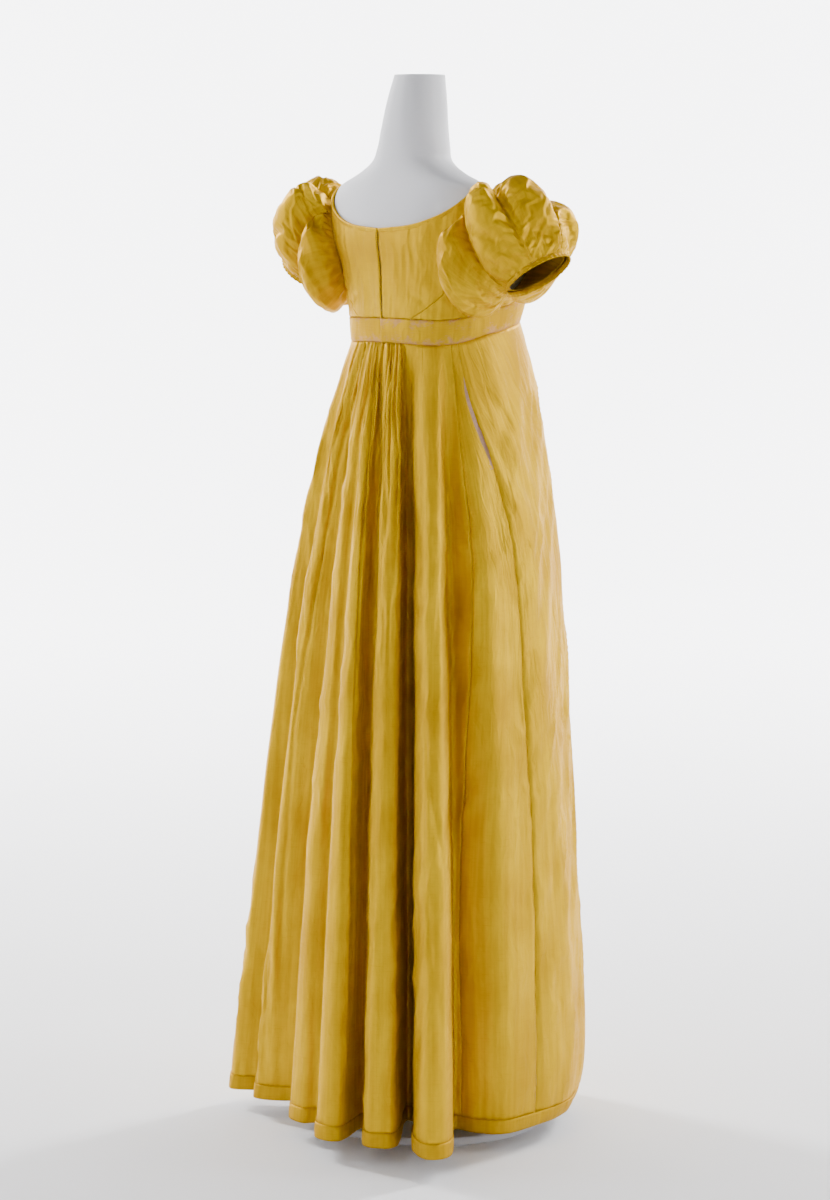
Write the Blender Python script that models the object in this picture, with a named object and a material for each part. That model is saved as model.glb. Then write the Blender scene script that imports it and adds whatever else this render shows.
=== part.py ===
"""A regency gown of about 1815 on a white dress form.

The gown has a fitted, high-waisted bodice that opens down the centre back, short
sleeves drawn into puffed lobes by corded ribs, and a long skirt gathered at the back.
The form has a torso, a neck, a pole and a round base.

Run it with: blender --background --python part.py

Units are metres, +Z is up, and the wearer faces -Y, so the wearer's right is -X. The
origin is the centre of the base's underside. An angle around the body, phi, is in
degrees from the centre back (+Y) towards the wearer's right. Lengths round the waist,
called arc, start at the centre back and grow towards the wearer's right too.
"""
from collections import Counter, namedtuple

import bmesh
import bpy
import numpy as np

MM = 0.001

# Clearances and thicknesses of the cloth.
SEAM_GAP = 0.3 * MM
EASE = 2.5 * MM
BODICE_WALL = 1.5 * MM
SKIRT_WALL = 1.2 * MM
SLEEVE_WALL = 1.2 * MM
LINING_WALL = 1.0 * MM
BODICE_OUTSIDE = EASE + BODICE_WALL

# Heights at the centre back, and how the waist seam rises towards the front.
WAIST_TOP = 1215 * MM
WAIST_BOTTOM = 1180 * MM
WAIST_RISE = 35 * MM
WAIST_SAG = 8 * MM
WAIST_SAG_AT = 55
WAIST_SAG_WIDTH = 30
HEM_HEIGHT = 30 * MM
HEM_BAND = 22 * MM

# The stand.
BASE_RADIUS = 170 * MM
BASE_THICKNESS = 12 * MM
POLE_RADIUS = 17.5 * MM
ROUND_STEPS = 32

# The form's sections are superellipses: one row for each height, with its half width,
# the place of its widest line, and its depths in front of and behind that line.
SQUARENESS = 2.4
FormRow = namedtuple("FormRow", "z half_width centre_y front back")
FORM_ROWS = [FormRow(*(value * MM for value in row)) for row in (
    (860, 142, 0, 98, 94),
    (930, 148, 0, 106, 100),
    (1040, 130, 0, 96, 92),
    (1110, 121, 0, 94, 91),
    (1190, 125, 0, 100, 97),
    (1240, 132, 0, 120, 98),
    (1290, 144, 8, 126, 92),
    (1330, 153, 18, 108, 88),
    (1365, 157, 28, 82, 74),
    (1390, 154, 36, 60, 60),
    (1408, 138, 41, 50, 50),
    (1424, 98, 43, 47, 45),
    (1440, 68, 43, 48, 42),
    (1462, 56, 40, 48, 42),
    (1485, 50, 38, 47, 42),
    (1530, 42, 32, 42, 40),
    (1567, 34, 26, 36, 36),
)]
FORM_COLUMNS = 32

# The neckline, from the centre back over the shoulder to the centre front.
NeckPoint = namedtuple("NeckPoint", "phi z")
NECKLINE = [NeckPoint(phi, z * MM) for phi, z in (
    (0, 1345),
    (20, 1351),
    (40, 1366),
    (60, 1388),
    (79, 1404),
    (97, 1404),
    (115, 1388),
    (135, 1362),
    (158, 1342),
    (180, 1337),
)]
SHOULDER_PHI = 80

# The armhole is an oval on the form's side. Its angle psi runs from the top over the
# back to the underarm and up the front.
ARMHOLE_PHI = 86
ARMHOLE_Z = 1308.5 * MM
ARMHOLE_HALF_WIDTH = 36
ARMHOLE_HALF_HEIGHT = 63.5 * MM
SIDE_BACK_PSI = 122
UNDERARM_PSI = 174
SHOULDER_PSI = 10
SIDE_BACK_WAIST_PHI = 20
SIDE_WAIST_PHI = 75

SEAM_BOW = 4
HALF_GAP_PHI = 0.085
HALF_GAP_PSI = 0.13

# How finely the bodice is divided, and the binding on its neckline.
NECK_BACK_STEPS = 7
NECK_FRONT_STEPS = 7
STRAP_STEPS = 4
NECK_BINDING_DEPTH = 6 * MM
NECK_BINDING_WALL = 1.2 * MM

# The waistband.
BAND_WALL = 1.8 * MM
BAND_COLUMNS = 64

# The skirt's hem in plan: each row is a ridge or hollow of a fold, with the place on
# the waist from which it falls.
HemPoint = namedtuple("HemPoint", "arc x y")
HEM_POINTS = [HemPoint(*(value * MM for value in row)) for row in (
    (-280, 115, -200),
    (-190, 203, -126),
    (-155, 238, -50),
    (-136, 240, 30),
    (-123, 220, 95),
    (-113, 178, 108),
    (-100, 258, 174),
    (-90, 236, 202),
    (-78, 193, 174),
    (-66, 180, 204),
    (-54, 155, 204),
    (-41, 86, 166),
    (-31, 60, 236),
    (-25, 25, 243),
    (-19, 3, 228),
    (-13, -42, 274),
    (-6, -82, 266),
    (3, -56, 196),
    (10, -74, 190),
    (18, -114, 246),
    (27, -146, 248),
    (37, -154, 214),
    (46, -74, 124),
    (53, -90, 118),
    (70, -184, 212),
    (85, -238, 230),
    (99, -234, 180),
    (107, -166, 116),
    (114, -160, 100),
    (123, -198, 94),
    (131, -236, 66),
    (138, -238, 8),
    (155, -238, -52),
    (190, -203, -126),
    (280, -115, -200),
    (380, 0, -230),
)]

# How fast a point of the skirt goes from the waist to the hem's plan: the share that
# is straight, and the drop over which the rest is reached.
Flare = namedtuple("Flare", "straight drop")
BACK_FLARE = Flare(0.66, 0.20)
FRONT_FLARE = Flare(0.50, 0.15)
HEM_CURL = 30 * MM
HEM_CURL_DROP = 0.035

# Gathers at the centre back, on both sides of the opening.
GATHER_COUNT = 12
GATHER_START = -64 * MM
GATHER_PITCH = 8.7 * MM
GATHER_TOP = 2.1 * MM
GATHER_FULL = 3.2 * MM
GATHER_GROWTH = 0.035
GATHER_STEPS = 5

# Seams of the skirt, as arcs from the centre back, and the slit in the right one.
SEAM_BACK_ARC = 123 * MM
SEAM_FRONT_ARC = 138 * MM
SLIT_TOP = 0.04
SLIT_BOTTOM = 0.15
SLIT_WIDTH = 9 * MM

# The right sleeve's cuff ring; the left one is its mirror image.
CUFF_CENTRE = np.array((-241, 20, 1278)) * MM
CUFF_NORMAL = np.array((-0.555, -0.111, -0.82))
CUFF_UP = np.array((-0.80, -0.16, 0.577))
CUFF_BACK = np.array((-0.195, 0.976, 0.0))
CUFF_RADIUS = 51 * MM
CUFF_HEIGHT = 7 * MM
CUFF_PUCKERS = 20
CUFF_PUCKER_DEPTH = 0.7 * MM

# Ribs of the right sleeve, with their angles on the armhole and on the cuff, and the
# lobe that follows each one, with its fullness at both ends.
SleeveRib = namedtuple("SleeveRib", "armhole cuff rib_puff puff_armhole puff_cuff lap steps")
SLEEVE_RIBS = [SleeveRib(a, c, *(value * MM for value in puffs), lap, steps)
               for a, c, *puffs, lap, steps in (
    (-80, -62, 60, 82, 56, 0.80, 5),
    (-30, 5, 76, 112, 58, 0.90, 5),
    (5, 58, 82, 118, 76, 0.94, 5),
    (38, 128, 58, 104, 66, 0.96, 9),
    (180, 190, 36, 52, 44, 0.70, 7),
)]
RIB_HALF_ANGLE = 2.6
LINING_SET_IN = 7 * MM
SLEEVE_LIFT = 0.3 * MM
SLEEVE_ROWS = 10
CORD_RADIUS = 1.3 * MM

SILK = (0.60, 0.40, 0.05)
SILK_DARK = (0.50, 0.31, 0.04)
BAND_SILK = (0.58, 0.37, 0.14)
FACING_LINEN = (0.62, 0.42, 0.30)
FORM_WHITE = (0.70, 0.70, 0.72)
STAND_GREY = (0.30, 0.30, 0.31)


def smooth(keys, values, where):
    """Return values at 'where' on the smooth curve through the keys, one per column."""
    keys = np.asarray(keys, float)
    values = np.asarray(values, float).reshape(len(keys), -1)
    where = np.atleast_1d(np.asarray(where, float))
    slopes = np.gradient(values, keys, axis=0)
    span = np.clip(np.searchsorted(keys, where, side="right") - 1, 0, len(keys) - 2)
    width = (keys[span + 1] - keys[span])[:, None]
    t = (where - keys[span])[:, None] / width
    start = (1 + 2 * t) * (1 - t) ** 2 * values[span] + t * (1 - t) ** 2 * width * slopes[span]
    end = t * t * (3 - 2 * t) * values[span + 1] + t * t * (t - 1) * width * slopes[span + 1]
    return start + end


def body(phi, z, gap):
    """Return points of the form's surface moved outwards by a gap."""
    phi, z, gap = np.broadcast_arrays(*(np.atleast_1d(a).astype(float) for a in (phi, z, gap)))
    rows = smooth([row.z for row in FORM_ROWS], [row[1:] for row in FORM_ROWS], z.ravel())
    width, centre, front, back = (column.reshape(z.shape) for column in rows.T)
    side, rear = np.sin(np.radians(phi)), np.cos(np.radians(phi))
    power = 2 / SQUARENESS
    depth = np.where(rear >= 0, back, front) + gap
    x = -(width + gap) * np.sign(side) * np.abs(side) ** power
    y = centre + depth * np.sign(rear) * np.abs(rear) ** power
    return np.stack([x, y, z], -1)


def waist(phi, height):
    """Height of a waist line that has the given height at the centre back."""
    turn = (np.asarray(phi, float) + 180) % 360 - 180
    rise = WAIST_RISE * (1 - np.cos(np.radians(turn))) / 2
    return height + rise - WAIST_SAG * np.exp(-((np.abs(turn) - WAIST_SAG_AT) / WAIST_SAG_WIDTH) ** 2)


def waist_arcs():
    """Return matching lists of phi and arc right round the skirt's waist seam."""
    phi = np.linspace(-180, 180, 1441)
    ring = body(phi, waist(phi, WAIST_BOTTOM), BODICE_OUTSIDE)
    arc = np.concatenate([[0], np.cumsum(np.linalg.norm(np.diff(ring, axis=0), axis=1))])
    return phi, arc - arc[len(arc) // 2]


WAIST_PHI, WAIST_ARC = waist_arcs()
WAIST_HALF = WAIST_ARC[-1]


def waist_phi(arc):
    """Return the angle phi of a point given by its arc along the waist seam."""
    arc = (np.asarray(arc, float) + WAIST_HALF) % (2 * WAIST_HALF) - WAIST_HALF
    return np.interp(arc, WAIST_ARC, WAIST_PHI)


def hem_plan(arc):
    """Return x and y of the hem for an arc along the waist seam."""
    arc = (np.asarray(arc, float) + WAIST_HALF) % (2 * WAIST_HALF) - WAIST_HALF
    points = list(HEM_POINTS)
    before = [HemPoint(p.arc - 2 * WAIST_HALF, p.x, p.y) for p in points[-3:]]
    after = [HemPoint(p.arc + 2 * WAIST_HALF, p.x, p.y) for p in points[:3]]
    points = before + points + after
    return smooth([p.arc for p in points], [(p.x, p.y) for p in points], arc)


def gathers(arc, drop):
    """Return how far the gathers push the cloth outwards at an arc and drop."""
    turns = (arc - GATHER_START) / GATHER_PITCH
    number = np.floor(turns)
    wave = -np.cos(2 * np.pi * turns)
    crisp = np.sign(wave) * np.abs(wave) ** 0.8
    fade = 0.20 + 0.16 * np.modf(number * 0.618 + 10)[0]
    size = GATHER_TOP + (GATHER_FULL - GATHER_TOP) * (1 - np.exp(-drop / GATHER_GROWTH))
    size = size * np.exp(-(drop / fade) ** 2) * (0.8 + 0.2 * np.cos(2.4 * number))
    edge = np.clip(2 * np.minimum(turns, GATHER_COUNT - turns), 0, 1)
    return crisp * size * edge


def skirt(arc, drop, gap=0.0):
    """Return points of the skirt's outside; drop is 0 at the waist seam, 1 at the hem."""
    arc, drop = np.broadcast_arrays(np.asarray(arc, float), np.asarray(drop, float))
    flat_arc, flat_drop = arc.ravel(), drop.ravel()
    phi = waist_phi(flat_arc)
    top = body(phi, waist(phi, WAIST_BOTTOM) - SEAM_GAP, BODICE_OUTSIDE)
    hem = hem_plan(flat_arc)
    wrapped = (flat_arc + WAIST_HALF) % (2 * WAIST_HALF) - WAIST_HALF
    frontness = np.clip((np.abs(wrapped) - 100 * MM) / (60 * MM), 0, 1)
    shares = []
    for flare in (BACK_FLARE, FRONT_FLARE):
        curve = 1 - np.exp(-flat_drop / flare.drop)
        shares.append(flare.straight * flat_drop + (1 - flare.straight) * curve)
    share = shares[0] * (1 - frontness) + shares[1] * frontness
    curl = HEM_CURL * frontness * np.exp((flat_drop - 1) / HEM_CURL_DROP)
    plan = top[:, :2] + (hem - top[:, :2]) * share[:, None]
    outwards = top[:, :2] / np.linalg.norm(top[:, :2], axis=1)[:, None]
    push = gathers(wrapped, flat_drop) + gap - curl
    plan = plan + outwards * push[:, None]
    height = top[:, 2] * (1 - flat_drop) + HEM_HEIGHT * flat_drop
    return np.column_stack([plan, height]).reshape(arc.shape + (3,))


def inward(points, wrap, turn=1):
    """Return unit vectors through the wall of a sheet whose columns go to the wearer's right."""
    if wrap:
        along = np.roll(points, -1, axis=1) - np.roll(points, 1, axis=1)
    else:
        along = np.gradient(points, axis=1)
    down = np.gradient(points, axis=0)
    normal = np.cross(along, down) * turn
    return normal / np.linalg.norm(normal, axis=2)[:, :, None]


def material(name, colour, roughness):
    """Make a Principled material."""
    made = bpy.data.materials.new(name)
    made.use_nodes = True
    shader = made.node_tree.nodes["Principled BSDF"]
    shader.inputs["Base Color"].default_value = (*colour, 1)
    shader.inputs["Roughness"].default_value = roughness
    made.diffuse_color = (*colour, 1)
    return made


def finish(name, verts, faces, look):
    """Make an object from points and faces, with its faces turned outwards."""
    mesh = bpy.data.meshes.new(name)
    mesh.from_pydata([tuple(point) for point in verts], [], faces)
    mesh.materials.append(material(name, *look))
    mesh.validate()
    made = bpy.data.objects.new(name, mesh)
    bpy.context.scene.collection.objects.link(made)
    face_outwards(mesh)
    mesh.shade_smooth()
    mesh.set_sharp_from_angle(angle=np.radians(40))
    return made


def face_outwards(mesh):
    """Turn the faces of a closed mesh outwards."""
    working = bmesh.new()
    working.from_mesh(mesh)
    bmesh.ops.recalc_face_normals(working, faces=working.faces)
    working.to_mesh(mesh)
    working.free()


def wall(name, outside, inside, look, wrap=False):
    """Make one sheet of cloth between two grids of points."""
    rows, columns = outside.shape[:2]
    quads = []
    for row in range(rows - 1):
        for column in range(columns if wrap else columns - 1):
            here, beside = row * columns + column, row * columns + (column + 1) % columns
            quads.append((here, beside, beside + columns, here + columns))
    return shell(name, outside.reshape(-1, 3), inside.reshape(-1, 3), quads, look)


def shell(name, outside, inside, quads, look):
    """Make a sheet from matching points on both its sides, closed along its free edges."""
    back = len(outside)
    halves = []
    for a, b, c, d in quads:
        if np.linalg.norm(outside[a] - outside[c]) <= np.linalg.norm(outside[b] - outside[d]):
            halves += [(a, b, c), (a, c, d)]
        else:
            halves += [(a, b, d), (b, c, d)]
    sides = Counter()
    for half in halves:
        sides.update(frozenset(pair) for pair in zip(half, half[1:] + half[:1]))
    faces = list(halves)
    faces += [tuple(back + index for index in reversed(half)) for half in halves]
    for half in halves:
        for near, far in zip(half, half[1:] + half[:1]):
            if sides[frozenset((near, far))] == 1:
                faces.append((far, near, back + near, back + far))
    return finish(name, np.concatenate([outside, inside]), faces, look)


def mirrored(points):
    """Return points mirrored to the wearer's other side."""
    return points * np.array((-1.0, 1.0, 1.0))


def resample(points, count):
    """Return count + 1 points at equal steps along a line of points."""
    points = np.asarray(points, float)
    scaled = points * np.array((2.2 * MM, 1.0))
    length = np.concatenate([[0], np.cumsum(np.linalg.norm(np.diff(scaled, axis=0), axis=1))])
    steps = np.linspace(0, length[-1], count + 1)
    return np.column_stack([np.interp(steps, length, column) for column in points.T])


def join(*lines):
    """Join lines of points end to end."""
    return np.concatenate([lines[0]] + [line[1:] for line in lines[1:]])


def patch(bottom, top, left, right):
    """Fill a four-sided outline of (phi, z) points; rows go up, columns to the right."""
    u = np.linspace(0, 1, len(bottom))[None, :, None]
    v = np.linspace(0, 1, len(left))[:, None, None]
    across = (1 - v) * bottom[None] + v * top[None]
    along = (1 - u) * left[:, None] + u * right[:, None]
    low = (1 - u) * bottom[0] + u * bottom[-1]
    high = (1 - u) * top[0] + u * top[-1]
    return across + along - (1 - v) * low - v * high


def armhole(psi, scale=1.0):
    """Return (phi, z) of the armhole at angles psi."""
    psi = np.radians(np.asarray(psi, float))
    phi = ARMHOLE_PHI - ARMHOLE_HALF_WIDTH * scale * np.sin(psi)
    return np.stack([phi, ARMHOLE_Z + ARMHOLE_HALF_HEIGHT * scale * np.cos(psi)], -1)


def armhole_line(start, end, count):
    """Return the armhole's edge from one psi to another."""
    return resample(armhole(np.linspace(start, end, 60)), count)


def neckline(start, end, count):
    """Return the neckline from one phi to another."""
    phi = np.linspace(start, end, 80)
    z = smooth([p.phi for p in NECKLINE], [p.z for p in NECKLINE], phi)[:, 0]
    return resample(np.column_stack([phi, z]), count)


def waist_line(start, end, count):
    """Return the bodice's lower edge from one phi to another."""
    phi = np.linspace(start, end, count + 1)
    return np.column_stack([phi, waist(phi, WAIST_TOP) + SEAM_GAP])


def seam(waist_at, psi, shift, count):
    """Return a seam that rises from the waist to the armhole, moved sideways by a shift."""
    low = np.array((waist_at, waist(waist_at, WAIST_TOP) + SEAM_GAP))
    high = armhole(psi)
    t = np.linspace(0, 1, count + 1)[:, None]
    line = low + (high - low) * t
    line[:, 0] += SEAM_BOW * np.sin(np.pi * t[:, 0]) * (waist_at == SIDE_BACK_WAIST_PHI) + shift
    return line


def quilt(patches):
    """Join patches that share edges; return their (phi, z) points and their quads."""
    points, found, quads = [], {}, []
    for grid in patches:
        rows, columns = grid.shape[:2]
        index = np.zeros((rows, columns), int)
        for place in np.ndindex(rows, columns):
            phi, z = grid[place]
            key = (round(phi, 3), round(z / MM, 3))
            if key not in found:
                found[key] = len(points)
                points.append((phi, z))
            index[place] = found[key]
        for row in range(rows - 1):
            for column in range(columns - 1):
                quads.append((index[row, column], index[row, column + 1],
                              index[row + 1, column + 1], index[row + 1, column]))
    return np.array(points), quads


def bodice_panel(name, patches, look, pair=False):
    """Make a bodice panel from (phi, z) patches, with its mirror image if it is one of a pair."""
    flat, quads = quilt(patches)
    outside = body(flat[:, 0], flat[:, 1], BODICE_OUTSIDE)
    inside = body(flat[:, 0], flat[:, 1], EASE)
    if pair:
        shell(name + "_right", outside, inside, quads, look)
        shell(name + "_left", mirrored(outside), mirrored(inside), quads, look)
    else:
        shell(name, outside, inside, quads, look)


def line(start, end, count):
    """Return a straight line of (phi, z) points."""
    return resample([start, end], count)


def strap(back_phi, side_psi, shoulder_psi, shoulder_phi, upright):
    """Return the patch between the armhole and the neckline, from an upright to the shoulder."""
    steps = STRAP_STEPS
    low = armhole_line(side_psi, shoulder_psi, steps)
    low[0] = upright[0]
    high = neckline(back_phi, shoulder_phi, steps)
    high[0] = upright[-1]
    return patch(low, high, upright, line(low[-1], high[-1], len(upright) - 1))


def build_bodice():
    """Make the bodice: front, side backs and backs."""
    look = (SILK, 0.42)
    gap = HALF_GAP_PHI
    low_steps, high_steps = 4, 3

    edge = armhole(90)
    top = neckline(gap, edge[0], NECK_BACK_STEPS)
    upright = line(edge, top[-1], high_steps)
    rising = seam(SIDE_BACK_WAIST_PHI, SIDE_BACK_PSI, -gap, low_steps)
    right = join(rising, armhole_line(SIDE_BACK_PSI, 90, 1), upright)
    left = line((gap, waist(0, WAIST_TOP) + SEAM_GAP), top[0], len(right) - 1)
    bottom = waist_line(gap, right[0, 0], NECK_BACK_STEPS)
    shoulder = strap(edge[0], 90, SHOULDER_PSI + HALF_GAP_PSI, SHOULDER_PHI - gap, upright)
    bodice_panel("bodice_back", [patch(bottom, top, left, right), shoulder], look, pair=True)

    left = seam(SIDE_BACK_WAIST_PHI, SIDE_BACK_PSI, gap, low_steps)
    right = seam(SIDE_WAIST_PHI, UNDERARM_PSI, -gap, low_steps)
    top = armhole_line(SIDE_BACK_PSI, UNDERARM_PSI, 6)
    top[0], top[-1] = left[-1], right[-1]
    bottom = waist_line(left[0, 0], right[0, 0], 6)
    bodice_panel("bodice_side_back", [patch(bottom, top, left, right)], look, pair=True)

    edge = armhole(270)
    top = neckline(edge[0], 180, NECK_FRONT_STEPS)
    upright = line(edge, top[0], high_steps)
    left = seam(SIDE_WAIST_PHI, UNDERARM_PSI, gap, low_steps)
    rising = line((edge[0], waist(edge[0], WAIST_TOP) + SEAM_GAP), edge, low_steps)
    low = armhole_line(UNDERARM_PSI, 270, 6)
    low[0], low[-1] = left[-1], edge
    side = patch(waist_line(left[0, 0], edge[0], 6), low, left, rising)
    uprights = join(rising, upright)
    centre = line((180, waist(180, WAIST_TOP) + SEAM_GAP), top[-1], len(uprights) - 1)
    chest = patch(waist_line(edge[0], 180, NECK_FRONT_STEPS), top, uprights, centre)
    shoulder = strap(edge[0], 270, 360 + SHOULDER_PSI - HALF_GAP_PSI, SHOULDER_PHI + gap, upright)
    patches = [side, chest, shoulder]
    patches += [grid[:, ::-1] * (-1, 1) + (360, 0) for grid in patches]
    bodice_panel("bodice_front", patches, look)


def build_neck_binding():
    """Make the narrow binding that lies on the bodice's neck edge, open at the back."""
    back_phi, front_phi = armhole(90)[0], armhole(270)[0]
    right = join(neckline(HALF_GAP_PHI, back_phi, NECK_BACK_STEPS),
                 neckline(back_phi, SHOULDER_PHI, STRAP_STEPS),
                 neckline(SHOULDER_PHI, front_phi, STRAP_STEPS),
                 neckline(front_phi, 180, NECK_FRONT_STEPS))
    phi, z = join(right, right[::-1] * (-1, 1) + (360, 0)).T
    levels = np.stack([z, z - NECK_BINDING_DEPTH])
    near = BODICE_OUTSIDE + SEAM_GAP
    outside = body(phi, levels, near + NECK_BINDING_WALL)
    inside = body(phi, levels, near)
    wall("neck_binding", outside, inside, (SILK_DARK, 0.45))


def build_waistband():
    """Make the waistband, whose ends meet at the centre back."""
    phi = np.linspace(0.1, 359.9, BAND_COLUMNS + 1)
    top, bottom = waist(phi, WAIST_TOP), waist(phi, WAIST_BOTTOM)
    z = np.stack([top, bottom])
    outside = body(phi, z, BODICE_OUTSIDE + 0.6 * MM)
    inside = body(phi, z, BODICE_OUTSIDE + 0.6 * MM - BAND_WALL)
    wall("waistband", outside, inside, (BAND_SILK, 0.5))


def skirt_bottom():
    """Return the drop at which the skirt panels end and the hem band starts."""
    return 1 - (HEM_BAND + SEAM_GAP) / (WAIST_BOTTOM - HEM_HEIGHT)


def skirt_panel(name, arcs, rows):
    """Make a skirt panel from the arcs of its columns, which may vary down the panel."""
    outside = skirt(arcs, rows[:, None])
    level = inward(outside, wrap=False)
    level[[0, -1], :, 2] = 0
    inside = outside + level * SKIRT_WALL
    return wall(name, outside, inside, (SILK, 0.42))


def build_skirt():
    """Make the skirt's panels, with the slit in the seam on the wearer's right."""
    half = SEAM_GAP / 2
    last = skirt_bottom()
    back_edge, front_edge = SEAM_BACK_ARC, SEAM_FRONT_ARC
    gathered = GATHER_START + np.arange(GATHER_COUNT * GATHER_STEPS + 1) * GATHER_PITCH / GATHER_STEPS
    before = np.linspace(half - back_edge, gathered[0], 10)[:-1]
    after = np.linspace(gathered[-1], back_edge - half, 17)[1:]
    arcs = np.concatenate([before, gathered, after])
    rows = np.array([0, 0.015, 0.045, 0.09, 0.15, 0.26, 0.42, 0.6, 0.8, last])
    skirt_panel("skirt_back", arcs[None], rows)
    opening = np.clip((rows - SLIT_TOP) * (SLIT_BOTTOM - rows), 0, None)
    opening = SLIT_WIDTH * opening / (SLIT_BOTTOM - SLIT_TOP) ** 2 * 4
    scale = np.linalg.norm(skirt(front_edge + 1 * MM, rows) - skirt(front_edge, rows), axis=1) / MM
    steps = np.linspace(0, 1, 6)
    for side, cut in (("right", opening / scale), ("left", 0 * rows)):
        start = np.full(len(rows), back_edge + half)
        end = front_edge - half - cut
        arcs = start[:, None] * (1 - steps) + end[:, None] * steps
        if side == "left":
            arcs = -arcs[:, ::-1]
        skirt_panel("skirt_side_" + side, arcs, rows)

    across = np.linspace(front_edge + half, 2 * WAIST_HALF - front_edge - half, 31)
    skirt_panel("skirt_front", across[None], rows)


def build_hem_band():
    """Make the band at the hem, one ring under the skirt's panels."""
    half = SEAM_GAP / 2
    span = 2 * WAIST_HALF
    back = np.arange(-SEAM_BACK_ARC, SEAM_BACK_ARC, 3.1 * MM)
    front = np.linspace(SEAM_BACK_ARC, span - SEAM_BACK_ARC, 36)[:-1]
    arcs = np.concatenate([back, front])[None]
    rows = np.array([skirt_bottom() + SEAM_GAP / (WAIST_BOTTOM - HEM_HEIGHT), 1.0])[:, None]
    outside = skirt(arcs, rows, half)
    level = inward(outside, wrap=True)
    level[:, :, 2] = 0
    inside = outside + level * (SKIRT_WALL + 0.6 * MM)
    wall("hem_band", outside, inside, (SILK_DARK, 0.45), wrap=True)


def build_placket_facing():
    """Make the strip of facing behind the slit."""
    rows = np.array([0.03, 0.045, 0.09, 0.15, 0.162])
    arcs = SEAM_FRONT_ARC + np.linspace(-9, 5, 4) * MM
    outside = skirt(arcs[None], rows[:, None])
    level = inward(outside, wrap=False)
    near = SKIRT_WALL + 4 * SEAM_GAP
    wall("placket_facing", outside + level * near, outside + level * (near + 1.0 * MM),
         (FACING_LINEN, 0.7))


def cuff_ring(psi, radius, along=0.0):
    """Return points of the right cuff at angles psi, moved along the cuff's axis."""
    psi = np.radians(np.asarray(psi, float))[..., None]
    radial = CUFF_UP * np.cos(psi) + CUFF_BACK * np.sin(psi)
    return CUFF_CENTRE + radial * np.asarray(radius)[..., None] + CUFF_NORMAL * along


def sleeve_surface(armhole_psi, cuff_psi, puff_armhole, puff_cuff, lap, rows, shrink=0.0):
    """Return a grid of points that arch from the armhole to the cuff of the right sleeve.

    lap says how far each column leaves the armhole flat over the bodice, from 0 to 1.
    """
    scale = 1.06 - shrink / (50 * MM)
    edge = armhole(armhole_psi, scale)
    start = body(edge[..., 0], edge[..., 1], BODICE_OUTSIDE + SEAM_GAP + SLEEVE_LIFT)
    end = cuff_ring(cuff_psi, CUFF_RADIUS - shrink, -CUFF_HEIGHT)
    middle = body(ARMHOLE_PHI, ARMHOLE_Z, BODICE_OUTSIDE)[0]
    radial = start - middle
    radial[:, 0] = 0
    radial /= np.linalg.norm(radial, axis=1)[:, None]
    lap = np.asarray(lap)[:, None]
    leave = lap * radial + np.sqrt(1 - lap ** 2) * np.array((-1.0, 0, 0))
    spread = end - (CUFF_CENTRE - CUFF_NORMAL * CUFF_HEIGHT)
    spread /= np.linalg.norm(spread, axis=1)[:, None]
    arrive = 0.85 * spread - 0.5 * CUFF_NORMAL
    near = start + leave * np.asarray(puff_armhole)[:, None]
    far = end + arrive * np.asarray(puff_cuff)[:, None]
    w = rows[:, None, None]
    return ((1 - w) ** 3 * start + 3 * (1 - w) ** 2 * w * near
            + 3 * (1 - w) * w * w * far + w ** 3 * end)


def sleeve_columns():
    """Return the angles, fullnesses and lap of each sleeve column."""
    columns = []
    count = len(SLEEVE_RIBS)
    for index, rib in enumerate(SLEEVE_RIBS):
        after = SLEEVE_RIBS[(index + 1) % count]
        turn = 360 if index == count - 1 else 0
        first = np.array((rib.armhole, rib.cuff)) + RIB_HALF_ANGLE
        last = np.array((after.armhole, after.cuff)) + turn - RIB_HALF_ANGLE
        for step in range(rib.steps + 1):
            t = step / rib.steps
            swell = np.sin(np.pi * t) ** 0.6 if 0 < t < 1 else 0.0
            angles = first + (last - first) * t
            floor = rib.rib_puff + (after.rib_puff - rib.rib_puff) * t
            puffs = [floor + (puff - floor) * swell for puff in (rib.puff_armhole, rib.puff_cuff)]
            lap = rib.lap + (after.lap - rib.lap) * (3 * t * t - 2 * t ** 3)
            columns.append((*angles, *puffs, lap))
    return np.array(columns)


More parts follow.
